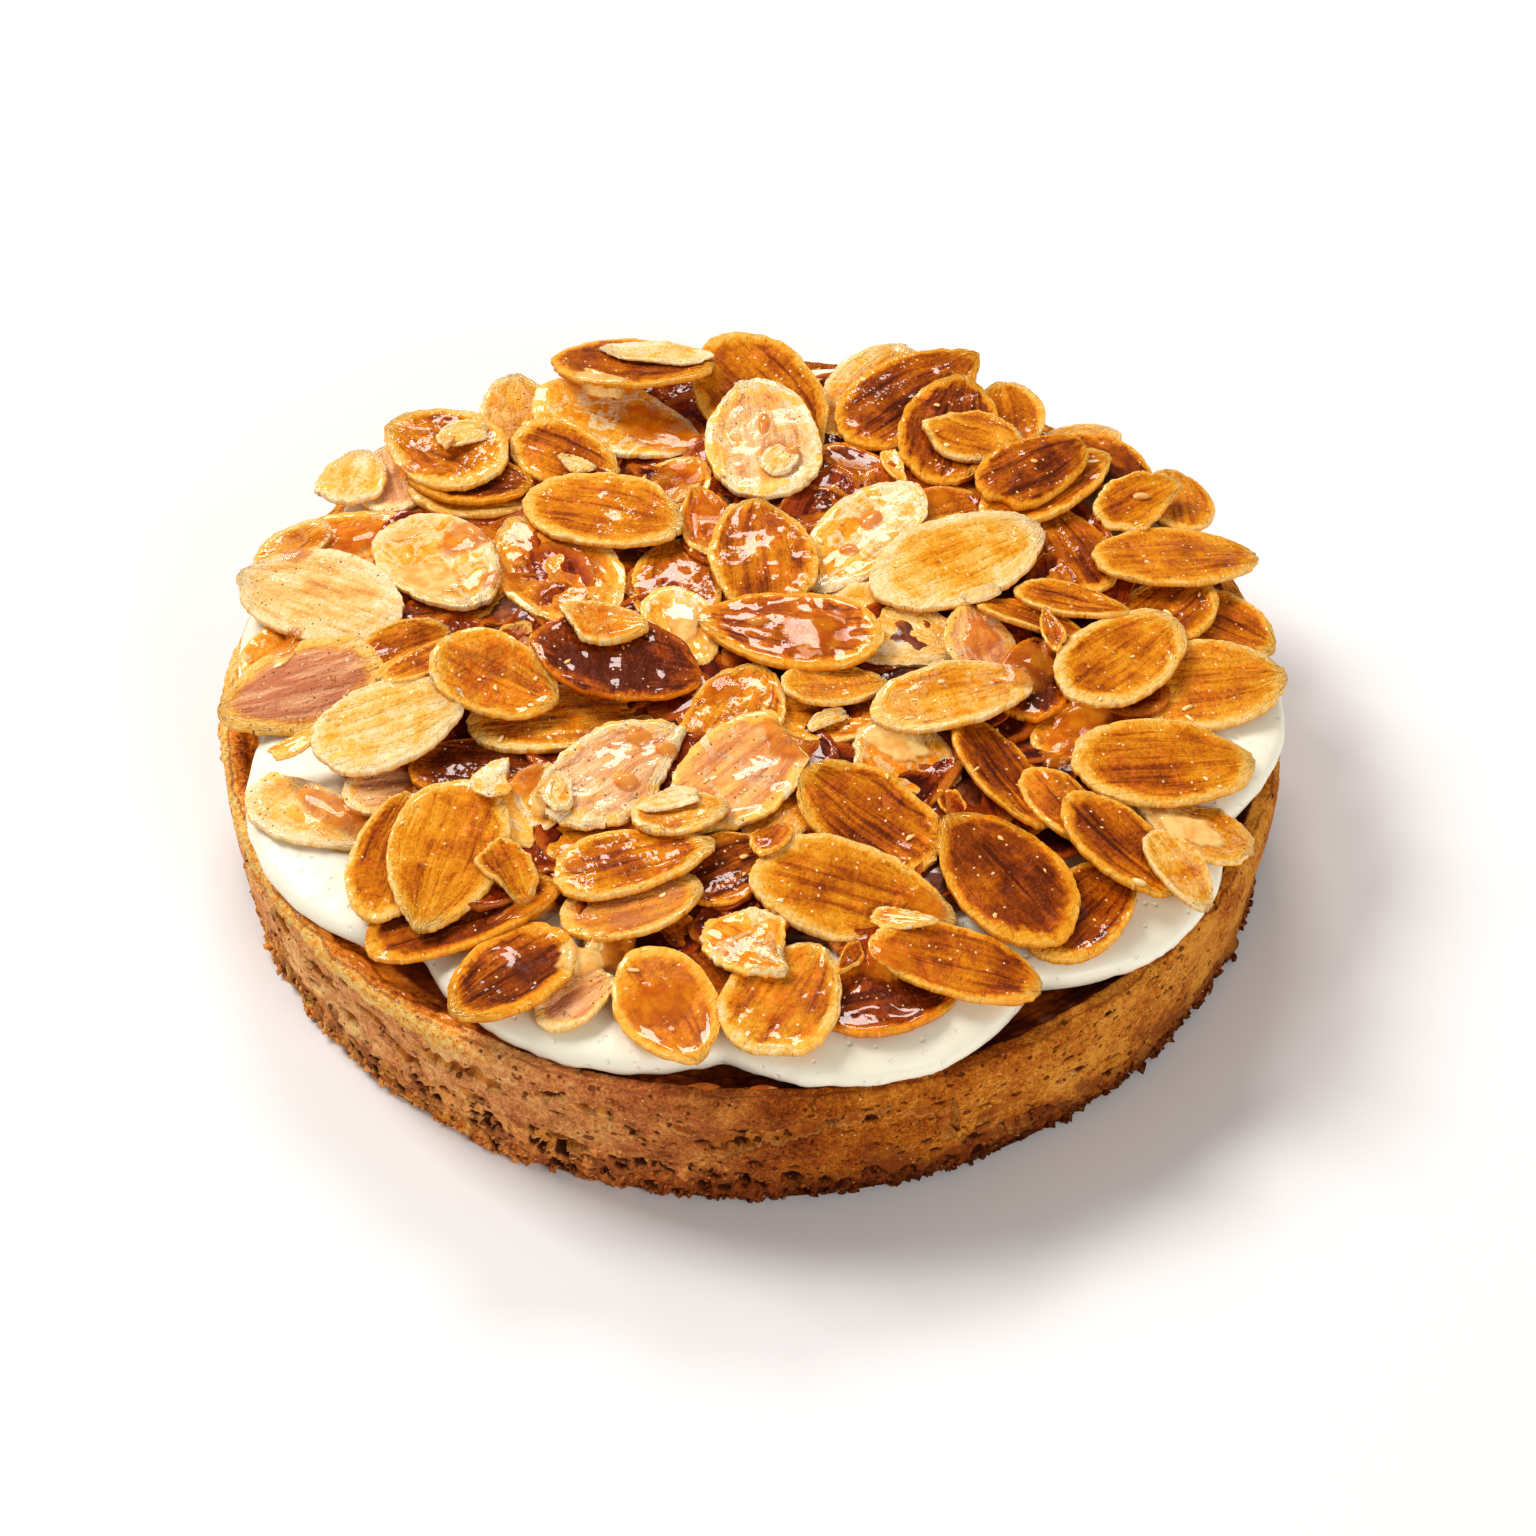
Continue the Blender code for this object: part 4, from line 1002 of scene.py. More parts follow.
def groundGrid():  # what a flake must stay above, and what it first comes to lie on, in mm
    reach = crust["radius"] + 6
    ticks = np.arange(-reach, reach + heap["cell"], heap["cell"])
    x, y = np.meshgrid(ticks, ticks, indexing="ij")
    surface = np.full(x.shape, crust["height"])
    half = cream["top"] - cream["widest"]
    for degrees, reach, wide, _ in dollops:
        turn = math.radians(degrees)
        along = (x * math.cos(turn) + y * math.sin(turn) - cream["ring"]) / (reach - cream["ring"])
        beside = (y * math.cos(turn) - x * math.sin(turn)) / wide
        across = np.minimum(np.hypot(along, beside), 1.0)
        rise = (1 - across ** cream["plump"]) ** (1 / cream["plump"])
        surface = np.maximum(surface, cream["widest"] + half * rise)
    clear = surface + 1.6 * heap["gap"]
    radius = np.hypot(x, y)
    lying = np.where(radius < heap["coreRadius"] - 1.5, coreTop(radius) - heap["sink"], clear)
    return x, y, clear, np.maximum(lying, clear)


def settle(item, x, y, clear, ground):  # height and slopes at which a flake comes to rest
    heading = math.radians(item["heading"])
    dx = x - item["x"]
    dy = y - item["y"]
    along = (dx * math.cos(heading) + dy * math.sin(heading)) / (0.5 * item["length"])
    beside = (dy * math.cos(heading) - dx * math.sin(heading)) / (0.5 * item["width"])
    reach = along**2 + beside**2
    under = reach < 0.92
    over = np.stack((np.ones_like(x), dx * mm, dy * mm))[:, reach < 1.25]
    bare = clear[reach < 1.25] * mm
    basis = np.stack((np.ones_like(dx[under]), dx[under] * mm, dy[under] * mm))
    support = ground[under] * mm
    held = item["back"] is not None
    wanted = np.zeros(3)
    if held:
        wanted[1:] = -math.tan(math.radians(item["right"])), math.tan(math.radians(item["back"]))
    prop = heap["propHeld"] if held else heap["propFree"]
    plane = wanted.copy()
    plane[0] = (support - wanted[1:] @ basis[1:]).max()
    for _ in range(heap["steps"]):
        deep = support - plane @ basis
        pushed = basis[:, deep > 0]
        force = heap["contact"] * pushed @ deep[deep > 0] - np.array((1.0, 0.0, 0.0))
        force[1:] -= prop * (plane[1:] - wanted[1:])
        stiffness = heap["contact"] * pushed @ pushed.T + np.diag((0.2 / mm, prop, prop))
        plane = plane + np.linalg.solve(stiffness, force)
        slope = math.hypot(plane[1], plane[2])
        if not held and slope > heap["steepest"]:
            plane[1:] *= heap["steepest"] / slope
    plane[0] += max(0.0, (bare - plane @ over).max())
    ground[under] = np.maximum(ground[under], plane @ basis / mm + heap["thick"] * item["thick"])
    return plane[0] / mm, plane[1], plane[2]


def blankPlate(cellsAlong, cellsAcross):  # a flat plate with a round outline, ready to be bent
    bm = bmesh.new()
    bmesh.ops.create_grid(bm, x_segments=cellsAlong, y_segments=cellsAcross, size=1.0)
    sheet = bm.verts[:] + bm.edges[:] + bm.faces[:]
    copied = bmesh.ops.duplicate(bm, geom=sheet)["geom"]
    for side, rise in ((copied, -0.5), (sheet, 0.5)):
        verts = [part for part in side if isinstance(part, bmesh.types.BMVert)]
        bmesh.ops.translate(bm, verts=verts, vec=(0, 0, rise))
    rims = [edge for edge in bm.edges if edge.is_boundary]
    band = bmesh.ops.bridge_loops(bm, edges=rims)["edges"]
    upright = [edge for edge in band if abs(edge.verts[0].co.z - edge.verts[1].co.z) > 0.5]
    bmesh.ops.subdivide_edges(bm, edges=upright, cuts=2, use_grid_fill=True)
    bmesh.ops.recalc_face_normals(bm, faces=bm.faces)
    square, triangles = takeShape(bm)
    bm.free()
    a, b, w = square.T
    a = np.where(np.abs(a) > 0.999, a, a * 0.985 / (1 - 2 / cellsAlong))  # a crisp edge
    b = np.where(np.abs(b) > 0.999, b, b * 0.975 / (1 - 2 / cellsAcross))
    u = a * np.sqrt(1 - 0.5 * b * b)
    v = b * np.sqrt(1 - 0.5 * a * a)
    w = np.where(np.abs(w) < 0.4, np.sign(w) * 0.36, w)
    return {"u": u, "v": v, "w": w, "rim": np.clip(np.hypot(u, v), 0, 1), "triangles": triangles}


def shapeFlake(plate, item, number):  # bends a blank plate into one almond slice, lying at the origin
    u, v, w, rim = plate["u"], plate["v"], plate["w"], plate["rim"]
    random = np.random.default_rng(number)
    drift = random.uniform(-400, 400, 3)  # so that no two flakes share their noise
    ring = np.stack((u, v, 0 * u), 1) / np.maximum(rim, 0.02)[:, None] + drift
    facing = np.arctan2(v, u)
    ragged = item["ragged"]
    # an uneven outline with bites and straight breaks
    outline = 0.06 * lumps(ring, 0.9) + (0.016 + 0.035 * ragged) * lumps(ring, 0.3)
    outline += (0.012 + 0.024 * ragged) * lumps(ring, 0.11) - 0.05 * ragged * np.abs(lumps(ring, 0.17, 5))
    outline += (0.010 + 0.014 * ragged) * lumps(ring, 0.05, 8)
    for degrees, depth, wide in item["bites"]:
        gap = np.angle(np.exp(1j * (facing - math.radians(degrees))))
        outline -= depth * np.exp(-((gap / wide) ** 4)) * (1 + 0.3 * lumps(ring, 0.1, 6))
    stretch = 1 + outline * rim**3
    for _ in range(round(4.6 * ragged - 1.2)):
        away = np.cos(facing - random.uniform(-math.pi, math.pi))
        stretch *= np.minimum(1, random.uniform(0.62, 0.94) / np.maximum(away, 0.3))
    # an almond's shape: one end pointed, the other blunt
    along = 0.5 * item["length"] * u * stretch
    pointed = (1 - 0.97 * np.clip(u, 0, 1) ** 2) ** random.uniform(0.0, 0.13)
    blunt = (1 - 0.97 * np.clip(u, -1, 0) ** 2) ** random.uniform(0.0, 0.05)
    egg = 1 - random.uniform(0.03, 0.20) * u
    beside = 0.5 * item["width"] * v * stretch * pointed * blunt * egg * 1.02
    bulge = np.where(np.abs(w) < 0.4, 0.05 + 0.03 * lumps(ring, 0.09, 9), 0.0)  # of the cut edge
    along = along + bulge * np.cos(facing)
    beside = beside + bulge * np.sin(facing)
    # veins from end to end, soft waves, and an edge that stands up a little before it falls off
    flat = np.stack((along, beside, 0 * u), 1) + drift
    fan = v / np.sqrt(1 - np.clip(u, -0.35, 0.95) ** 2)
    veins = np.stack((fan * 2.6, u * 0.45, 0 * u), 1) + drift
    ridge = 0.6 * lumps(veins, 0.55) + 0.4 * lumps(veins, 0.25, 3)
    relief = (0.02 + 0.20 * item["ridge"]) * ridge * (1 - rim**10)
    relief += 0.13 * lumps(flat, 2.7) + 0.06 * lumps(flat, 1.1, 2)
    relief += 0.10 * ease(rim, 0.70, 0.90) - 0.16 * ease(rim, 0.90, 1.0) - 0.05 * (1 - rim**2)
    relief += (0.04 + 0.12 * ragged) * ease(rim, 0.6, 0.95) * lumps(ring, 0.14, 7)
    relief += item["bubbly"] * (0.24 * lumps(flat, 1.7, 11) + 0.05 * lumps(flat, 0.9, 12)) * (1 - rim**8)
    thick = heap["thick"] * 0.72 * item["thick"] * (1 - 0.2 * ragged)
    rise = (w + 0.5) * thick + relief * np.clip(w + 0.5, 0, 1)
    # the whole flake is cupped, arched and twisted
    cup = item["cup"] if item["cup"] is not None else random.uniform(-0.3, 0.55)
    arch = random.uniform(-0.45, 0.35)
    twist = random.uniform(-0.45, 0.45)
    rise += cup * (v**2 - 0.3) + arch * (u**2 - 0.3) + twist * u * v + 0.22 * lumps(flat, 5.5, 4)
    grain = np.stack((along, fan * 0.4 * item["width"], np.full(len(u), number * 3.7)), 1)
    # the rim number grows over the lower cut edge and the underside beside it, which the material paints
    # darker as painted shade
    return np.stack((along, beside, rise), 1), grain, rim + 0.5 * np.clip(0.5 - w, 0, 1)


def makeFlake(plate, item, number, plane):  # one flake in its place, with what its material needs
    points, grain, rim = shapeFlake(plate, item, number)
    heading = math.radians(item["heading"])
    dx = points[:, 0] * math.cos(heading) - points[:, 1] * math.sin(heading)
    dy = points[:, 0] * math.sin(heading) + points[:, 1] * math.cos(heading)
    height = plane[0] + plane[1] * dx + plane[2] * dy + points[:, 2]
    placed = np.stack((item["x"] + dx, item["y"] + dy, height), 1)
    looks = np.tile((item["toast"], item["blush"], item["wet"]), (len(points), 1))
    return {"shape": (placed, plate["triangles"]), "grain": grain, "looks": looks, "rim": rim}


def joinFlakes(name, made, material):
    mesh = joined(name, [one["shape"] for one in made])
    for layer in ("grain", "looks", "rim"):
        paint(mesh, layer, np.concatenate([one[layer] for one in made]))
    return addPiece(name, mesh, material, "almond_flakes")


almondShades = [  # rows of how browned, red, green, blue
    (0.00, 255, 238, 206), (0.14, 253, 221, 168), (0.28, 248, 197, 108),
    (0.42, 238, 168, 50), (0.56, 222, 140, 22), (0.70, 192, 106, 10),
    (0.84, 152, 72, 8), (1.00, 98, 38, 4),
]


def almondMaterial(name, shaded=None):
    almond = Recipe(name, **{"Coat Roughness": 0.05, "Specular IOR Level": 0.10})
    grain = almond.stored("grain", 1)
    toast, blush, wet = almond.parts(almond.stored("looks", 1))
    rim = almond.stored("rim")
    streaks = almond.noise(almond.stretch(grain, (0.13, 1.0, 1.0)), 0.95, 4, 0.62)
    lines = almond.noise(almond.stretch(grain, (0.05, 1.0, 1.0)), 0.60, 2, 0.5)
    blotches = almond.noise(grain, 4.2, 3, 0.55, 0.4)
    fine = almond.noise(grain, 0.45, 3, 0.65)
    ragged = almond.noise(grain, 1.3, 3, 0.6)
    own = almond.noise(almond.stretch(grain, (0, 0, 1)), 0.9, 0)
    uneven = 0.36 * (ragged - 0.5) + 0.30 * (blotches - 0.5) + 0.40 * (own - 0.5)
    edge = almond.ease(rim + uneven + 0.10 * blush, 0.76, 0.97)
    inside = 0.05 + toast * (1.16 - 0.16 * rim * rim) + 0.56 * (streaks - 0.5) + 0.72 * (blotches - 0.5)
    inside = inside + 0.28 * toast * almond.ease(lines, 0.52, 0.66)
    outside = 0.07 + 0.34 * toast + 0.36 * toast**4.0 + 0.26 * (streaks - 0.5) + 0.34 * (ragged - 0.5)
    # painted shade on the lower cut edge and the underside
    outside = outside + 0.20 * almond.ease(rim, 1.08, 1.5)
    tone = inside * (1 - edge) + outside * edge + 0.40 * (fine - 0.5)
    colour = almond.shades(tone, almondShades)
    pink = almond.ease(blush + 0.7 * (blotches - 0.5) + 0.4 * (streaks - 0.5), 0.25, 0.85) * (1 - edge)
    salmon = almond.ease(streaks + 0.4 * toast - 0.12, 0.34, 0.68)
    salmon = almond.mix(salmon, tint(252, 200, 156), tint(202, 128, 94))
    colour = almond.mix(pink * 0.9, colour, salmon)
    film = almond.noise(grain, 3.4, 4, 0.55, 1.2)
    glazed = almond.ease(film + 0.30 * wet, 0.655, 0.70)
    dried = (1 - glazed) * almond.ease(film + 0.30 * wet, 0.52, 0.62) * wet
    dried = dried * almond.ease(toast, 0.48, 0.28) * (1 - 0.8 * pink)
    colour = almond.mix(dried * 0.9, colour, tint(255, 238, 200))
    syrup = almond.mix(1.0, colour, tint(255, 232, 150), "MULTIPLY")
    colour = almond.mix(glazed * (0.8 - 0.4 * pink), colour, syrup)
    speck = almond.ease(almond.spots(grain, 0.80), 0.20, 0.12)
    pick = almond.parts(almond.spots(grain, 0.80, 1))
    # pale specks, partly pale sugar specks and partly painted glints
    pale = speck * almond.ease(pick[0], 0.58, 0.62) * (1 - 0.7 * edge)
    colour = almond.mix(pale * 0.8, colour, tint(255, 232, 184))
    dots = speck * almond.ease(pick[1] + 0.3 * blush, 0.76, 0.80)
    dots = dots * almond.ease(0.5 - toast + 0.6 * blush, 0.1, 0.4)
    colour = almond.mix(dots * 0.8, colour, tint(110, 50, 24))
    # painted shade: the sunk almonds are multiplied darker, as shade in the gaps between the flakes above
    if shaded:
        colour = almond.mix(1.0, colour, shaded, "MULTIPLY")
    almond.feed("Base Color", colour)
    sparkle = almond.ease(fine + 0.2 * wet, 0.60, 0.66)
    almond.feed("Coat Weight", glazed * 0.7 + sparkle * (1 - glazed) * 0.7)
    almond.feed("Roughness", 0.50 - 0.2 * glazed)
    dry = 1 - 0.7 * glazed
    relief = almond.bump((streaks + 0.5 * lines - 0.75) * dry, 0.60 * mm, 0.9)
    relief = almond.bump((fine - 0.5) * dry, 0.38 * mm, 1.0, relief)
    almond.feed("Normal", almond.bump((ragged - 0.5) * glazed * (0.7 + toast), 0.60 * mm, 0.8, relief))
    return almond.material


def bedMaterial():
    bed = Recipe("almond_caramel", **{"Coat Roughness": 0.08, "Specular IOR Level": 0.2})
    cloudy = bed.noise(bed.place, 3.2 * mm, 4, 0.6)
    grain = bed.noise(bed.place, 0.9 * mm, 3, 0.6)
    # caramel colour, made darker still as painted shade in the gaps under the flakes
    colour = bed.shades(cloudy + 0.25 * grain, [
        (0.42, 176, 92, 18), (0.60, 112, 50, 10), (0.80, 60, 22, 6),
    ])
    bed.feed("Base Color", colour)
    bed.feed("Coat Weight", bed.ease(cloudy, 0.45, 0.6) * 0.7)
    bed.feed("Roughness", 0.5 - 0.2 * cloudy)
    bed.feed("Normal", bed.bump(cloudy + 0.4 * grain, 0.5 * mm, 0.9))
    return bed.material


bedLine = [
    (0.0, 0.0, 0.8), (15.0, 0.0, 0.7), (30.0, 0.0, 0.6), (41.0, 0.0, 0.4), (42.6, -0.5, 0.4),
    (42.8, -1.2, 1.0), (38.0, -1.4, 12.0), (0.0, -1.4, 0.0),
]


def makeBed():  # the caramel between and under the almonds
    mesh = turned("caramel_bed", bedLine, heap["bedTurns"])
    points = pointsOf(mesh)
    radius = radiusOf(points)
    upper = ease(points[:, 2], -0.9, -0.1)
    ragged = 1 + 0.05 * lumps(points, (7, 7, 50), 81) * ease(radius, 34, 42)
    points[:, 0] *= ragged
    points[:, 1] *= ragged
    points[:, 2] += coreTop(radius) - 0.25
    points[:, 2] += upper * (0.55 * layered(points, 3.4, 82) + 0.1)
    movePoints(mesh, points)
    return addPiece("caramel_bed", mesh, bedMaterial(), "almond_flakes")


tucked = [  # under the flakes that stand up at the back
    flake(-17.0, 46.0, 15, 9, 170, 0.70),
    flake(-6.0, 47.0, 12, 8, 200, 0.60),
    flake(10.0, 46.5, 12, 8, 10, 0.60),
]


def underFlakes():  # pieces sunk in the caramel, which show in the gaps
    random = np.random.default_rng(heap["seed"])
    plate = blankPlate(20, 12)
    made = []
    for number in range(heap["sunk"]):
        turn = number * goldenAngle
        radius = heap["sunkReach"] * math.sqrt((number + 0.5) / heap["sunk"])
        item = flake(
            radius * math.cos(turn) + random.uniform(-1.5, 1.5),
            radius * math.sin(turn) + random.uniform(-1.5, 1.5),
            random.uniform(11, 17), random.uniform(7, 10), random.uniform(0, 360),
            random.uniform(0.5, 0.9), wet=random.uniform(0.1, 0.6), ragged=random.uniform(0.2, 0.8),
        )
        height = coreTop(radius) - 0.85 + random.uniform(-0.2, 0.35)
        plane = (height, random.uniform(-0.07, 0.07), random.uniform(-0.07, 0.07))
        made.append(makeFlake(plate, item, 900 + number, plane))
    for number, item in enumerate(tucked):
        made.append(makeFlake(plate, item, 1200 + number, (cream["top"] + 0.2, 0, 0)))
    return made


kinds = {  # how browned the flakes of each piece are, at most
    "almonds_pale": 0.37,
    "almonds_golden": 0.50,
    "almonds_toasted": 0.62,
    "almonds_dark": 1.0,
}


def makeAlmonds():
    x, y, clear, ground = groundGrid()
    bed = makeBed()
    # the sunk almonds are tinted darker as painted shade of the gaps
    sunk = joinFlakes("almonds_sunk", underFlakes(), almondMaterial("sunk_almond", tint(200, 150, 90)))
    coarse = blankPlate(32, 20)
    dense = blankPlate(44, 26)
    groups = {kind: [] for kind in kinds}
    for number, item in enumerate(flakes):
        plane = settle(item, x, y, clear, ground)
        plate = coarse if item in lowest or item in chips else dense
        kind = next(name for name, most in kinds.items() if item["toast"] <= most)
        groups[kind].append(makeFlake(plate, item, number, plane))
    pieces = [bed, sunk]
    for kind, made in groups.items():
        pieces.append(joinFlakes(kind, made, almondMaterial(kind.replace("almonds_", "") + "_almond")))
    return pieces


# Caramel that runs over the almonds, drops of it, and crumbs
def pool(x, y, length, width, heading, thick=0.3, ragged=0.7):
    place = {"x": x, "y": y, "length": length, "width": width, "heading": heading}
    return {**place, "thick": thick, "ragged": ragged}


# Middle, length and width in mm, heading in degrees, then how thick and how ragged
syrupPools = [
    pool(-32.5, 17.5, 9, 6, 20), pool(-11.0, 37.0, 12, 7, -20), pool(-46.0, 20.5, 11, 5, 20),
    pool(6.8, -0.8, 9, 7.5, 60), pool(4.0, -17.0, 5, 7, 40, 0.2), pool(-9.5, -51.0, 8, 6, 40),
    pool(14.0, -46.5, 7, 4, 0), pool(18.0, -38.5, 6, 3.6, -30), pool(-9.0, 27.5, 9, 6, 60),
    pool(-4.5, 21.5, 9, 5, 90), pool(12.0, 30.0, 8, 4, -30), pool(25.5, 0.5, 7, 4, 80),
    pool(30.5, -5.0, 9, 6.5, 70, 1.2, 0.4), pool(36.0, -11.5, 8, 5, 30, 0.9, 0.4),
    pool(33.0, -16.5, 6, 4, 80, 0.7, 0.4), pool(-28.0, 10.5, 6, 4, 20), pool(-52.0, 1.5, 5, 3, 60),
    pool(-24.5, -21.5, 7, 3.6, 60), pool(-45.0, -23.5, 12, 3.8, 140, 0.9, 0.5),
    pool(-24.0, -38.5, 7, 2.6, 20), pool(-14.0, -44.0, 5, 4, 40), pool(-38.5, 28.5, 7, 2.6, -10),
    pool(-52.0, 16.0, 5, 4, 30), pool(21.0, 25.0, 7, 3.4, 20), pool(-3.5, -8.0, 6, 4, 40),
    pool(-40.0, 35.0, 5, 2, 170), pool(8.0, 21.0, 5, 3, 10),
]
palePools = [
    pool(-36.8, 10.2, 9, 5, 150, 0.12, 1.0), pool(-18.0, 41.0, 7, 3, -30, 0.1, 1.0),
    pool(-40.0, 19.0, 5, 2.4, 20, 0.1, 1.0), pool(-7.6, 3.0, 7, 5, 100, 0.2, 0.9),
    pool(-52.5, -0.5, 4, 2.4, 60, 0.1, 1.0), pool(15.5, -16.0, 9, 5, -30, 0.25, 1.0),
    pool(-17.8, -45.0, 6, 4.5, 40, 0.2, 1.0), pool(-22.5, -24.5, 5, 3.5, 70, 0.2, 1.0),
    pool(-8.0, 26.0, 5, 3, 40, 0.15, 1.0), pool(47.0, -26.5, 7, 4, -24, 0.2, 1.0),
    pool(-51.5, 17.0, 4, 2.4, 30, 0.1, 1.0),
]
drops = [
    pool(-9.3, -17.3, 2.6, 2.2, 0, 0.7, 0.2), pool(-13.5, -22.3, 2.8, 2.4, 0, 0.7, 0.2),
    pool(-12.3, -15.7, 3.0, 2.6, 0, 0.7, 0.2), pool(-18.6, -34.0, 2.6, 2.0, 0, 0.7, 0.3),
    pool(13.8, 20.0, 4.0, 2.6, 60, 0.7, 0.3), pool(11.2, 15.2, 2.4, 1.8, 0, 0.5, 0.3),
    pool(0.8, 1.0, 2.6, 1.8, 0, 0.5, 0.3), pool(1.5, 35.5, 3.6, 1.6, 90, 0.5, 0.4),
    pool(-3.2, -13.5, 2.2, 1.6, 30, 0.5, 0.3), pool(-8.5, -29.5, 2.2, 1.6, 0, 0.5, 0.3),
    pool(-26.5, 14.0, 1.8, 1.4, 0, 0.4, 0.3), pool(5.0, 30.5, 2.0, 1.6, 0, 0.5, 0.3),
]
puddles = [  # on the crest of the pastry, beside the cream
    pool(-45.4, -36.0, 3.6, 1.2, -52, 0.5, 0.6), pool(-41.0, -40.4, 5.8, 1.6, -46, 0.55, 0.6),
    pool(-36.2, -44.8, 3.0, 1.0, -38, 0.4, 0.8), pool(-31.7, -48.0, 3.2, 1.2, -34, 0.4, 0.8),
    pool(-49.8, -29.6, 3.0, 0.8, -60, 0.35, 0.6), pool(-5.0, -57.3, 3.4, 1.1, -4, 0.4, 0.8),
    pool(0.8, -57.5, 3.0, 0.9, 3, 0.35, 0.8), pool(-54.0, -20.5, 2.6, 0.8, -70, 0.35, 0.6),
]
# Each piece of caramel: its pools, the first number of their noise, its material, a light and a dark
# colour, how opaque it is, where it starts to fade towards the rim, and how wavy it is
syrups = {
    "caramel_pools": (syrupPools, 0, "amber_caramel", (240, 150, 22), (204, 100, 6), 0.48, 0.72, 0.35),
    "glaze_films": (palePools, 50, "pale_glaze", (252, 214, 140), (240, 178, 92), 0.85, 0.72, 0.35),
    "caramel_drops": (drops, 90, "caramel_beads", (248, 172, 70), (230, 132, 34), 0.62, 0.92, 0.35),
    "caramel_puddles": (puddles, 130, "deep_caramel", (236, 146, 44), (196, 96, 18), 0.8, 0.94, 1.2),
}
crumbs = {
    "count": 110,
    "reach": 50.0,
    "onCream": 7,  # one in so many lies on the cream
    "large": 14,  # and one in so many is larger
    "shades": [(0.35, 252, 226, 168), (0.55, 244, 190, 110), (0.75, 206, 124, 48)],
    "seed": 401,
}


def surfaceAt(trees, x, y):  # height of the highest thing there, in mm
    best = None
    for tree in trees:
        spot = tree.ray_cast(Vector((x * mm, y * mm, 0.1)), Vector((0, 0, -1)))[0]
        if spot is not None and (best is None or spot.z > best):
            best = spot.z
    return cream["bottom"] if best is None else best / mm


def shapePool(plate, item, number, trees, flat):  # clings to what it lies on; a flat one is level
    u, v, w, rim = plate["u"], plate["v"], plate["w"], plate["rim"]
    ring = np.stack((u, v, 0 * u), 1) / np.maximum(rim, 0.02)[:, None] + 31.7 * number
    outline = 0.34 * lumps(ring, 0.8) + 0.20 * lumps(ring, 0.3) + 0.10 * lumps(ring, 0.12)
    stretch = 1 + item["ragged"] * outline * rim
    heading = math.radians(item["heading"])
    along = 0.5 * item["length"] * u * stretch
    beside = 0.5 * item["width"] * v * stretch
    x = item["x"] + along * math.cos(heading) - beside * math.sin(heading)
    y = item["y"] + along * math.sin(heading) + beside * math.cos(heading)
    spots = list(zip(x.round(3), y.round(3)))
    found = {spot: surfaceAt(trees, *spot) for spot in set(spots)}
    under = np.array([found[spot] for spot in spots])
    usual = np.median(under)
    under = np.clip(under, usual - 1.3, usual + 1.0)
    basis = np.stack((np.ones_like(x), x, y), 1)
    level = basis @ np.linalg.lstsq(basis, under, rcond=None)[0]
    if flat:
        level = np.full(len(x), usual)
    share = 1 - rim**2
    places = np.stack((x, y, 0 * x), 1)
    top = under * (1 - share) + np.maximum(level, under - 0.1) * share
    top += item["thick"] * (1 - rim**3) + 0.05 + 0.10 * item["thick"] * lumps(places, 1.2)
    height = np.where(w > 0.4, top, under - 0.25)
    height = np.where(np.abs(w) < 0.4, under + 0.02, height)
    return np.stack((x, y, height), 1)


def syrupMaterial(name, light, dark, clear, fade, waves):
    syrup = Recipe(name, **{
        "Coat Weight": 1.0, "Coat Roughness": 0.04, "Roughness": 0.4, "Specular IOR Level": 0.0,
    })
    cloudy = syrup.noise(syrup.place, 1.8 * mm, 3)
    syrup.feed("Alpha", clear * syrup.ease(syrup.stored("rim") + 0.3 * (cloudy - 0.5), 1.0, fade))
    syrup.feed("Base Color", syrup.mix(syrup.ease(cloudy, 0.35, 0.65), tint(*light), tint(*dark)))
    syrup.feed("Normal", syrup.bump(cloudy, waves * mm, 0.5))
    return syrup.material


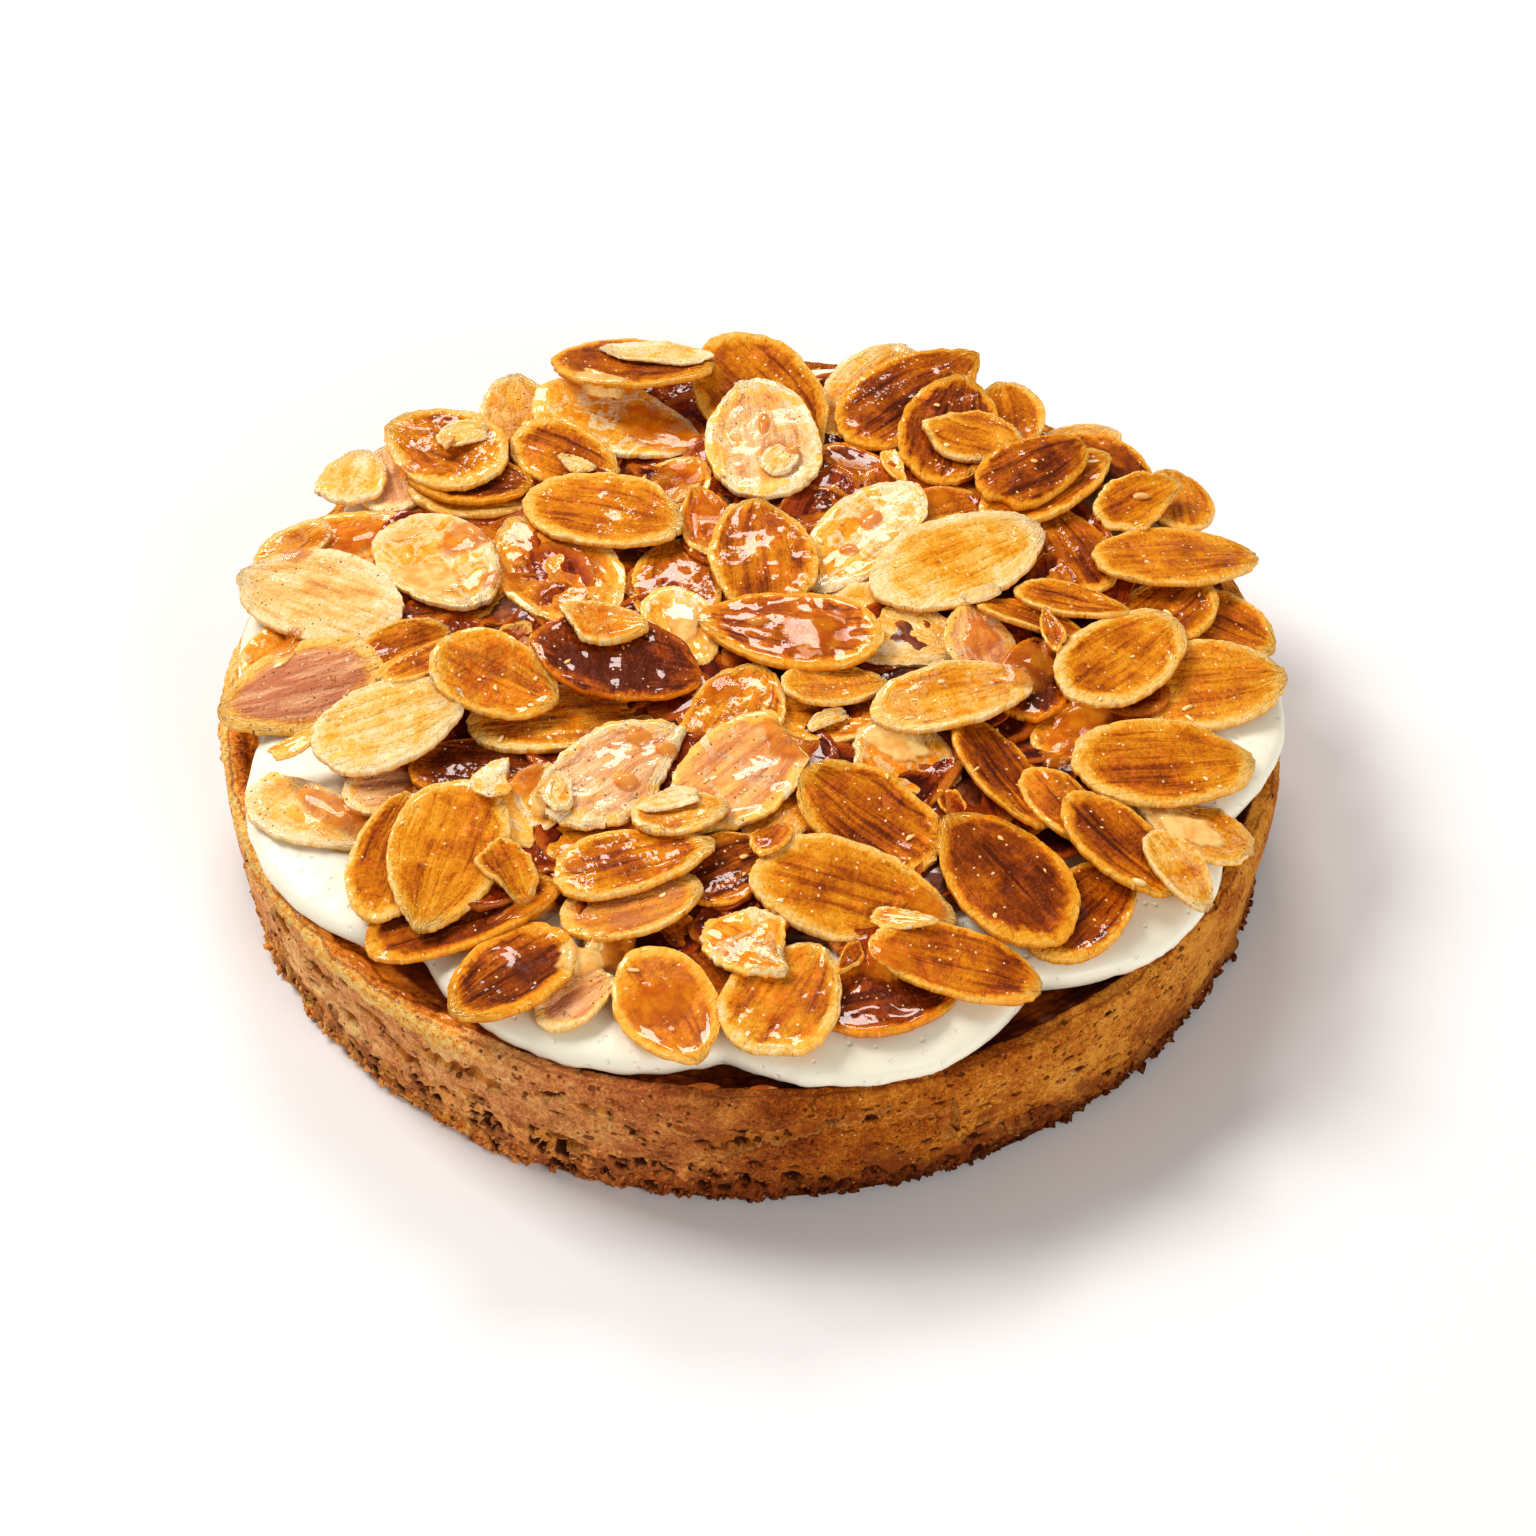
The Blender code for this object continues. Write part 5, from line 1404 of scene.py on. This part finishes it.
def joinPools(name, trees, node="almond_flakes"):
    items, first, *look = syrups[name]
    plate = blankPlate(18, 14)
    flat = node == "pastry_case"
    parts = []
    for number, item in enumerate(items):
        parts.append((shapePool(plate, item, first + number, trees, flat), plate["triangles"]))
    mesh = joined(name, parts)
    paint(mesh, "rim", np.tile(plate["rim"], len(items)))
    addPiece(name, mesh, syrupMaterial(*look), node)


def makeCrumbs(trees, creamTree):  # small bits of almond, on the heap and on the cream
    random = np.random.default_rng(crumbs["seed"])
    ball, faces = roundBit(2)
    parts = []
    for number in range(crumbs["count"]):
        out = crumbs["reach"] * math.sqrt(random.uniform(0, 1))
        turn = random.uniform(0, 2 * math.pi)
        if number % crumbs["onCream"] == 0:
            out = random.uniform(47, 55)
        x, y = out * math.cos(turn), out * math.sin(turn)
        size = random.uniform(0.12, 0.32)
        if number % crumbs["large"] == 0:
            size *= 2.2
        shaped = ball * (1 + 0.6 * lumps(ball + 9.1 * number, 0.7))[:, None]
        shaped = shaped * size * np.array((random.uniform(0.9, 2.2), random.uniform(0.5, 1.1), 0.45))
        shaped = shaped @ np.array(Matrix.Rotation(random.uniform(0, 6.28), 3, "Z"))
        height = surfaceAt(trees + [creamTree], x, y)
        parts.append((shaped + np.array((x, y, height + 0.25 * size)), faces))
    crumb = Recipe("almond_crumb", **{"Roughness": 0.5, "Coat Weight": 0.3, "Coat Roughness": 0.1})
    tone = crumb.noise(crumb.place, 9 * mm, 2)
    crumb.feed("Base Color", crumb.shades(tone, crumbs["shades"]))
    mesh = joined("almond_crumbs", parts)
    addPiece("almond_crumbs", mesh, crumb.material, "almond_flakes")


def makeCaramel(almonds, creamPiece, crustPiece):
    graph = bpy.context.evaluated_depsgraph_get()
    trees = [BVHTree.FromObject(piece, graph) for piece in almonds]
    for name in ("caramel_pools", "glaze_films", "caramel_drops"):
        joinPools(name, trees)
    joinPools("caramel_puddles", [BVHTree.FromObject(crustPiece, graph)], "pastry_case")
    makeCrumbs(trees, BVHTree.FromObject(creamPiece, graph))


setCamera()
setRoom()
crustPiece = makeCrust()
makeFilling()
creamPiece = makeCream()
makeCaramel(makeAlmonds(), creamPiece, crustPiece)
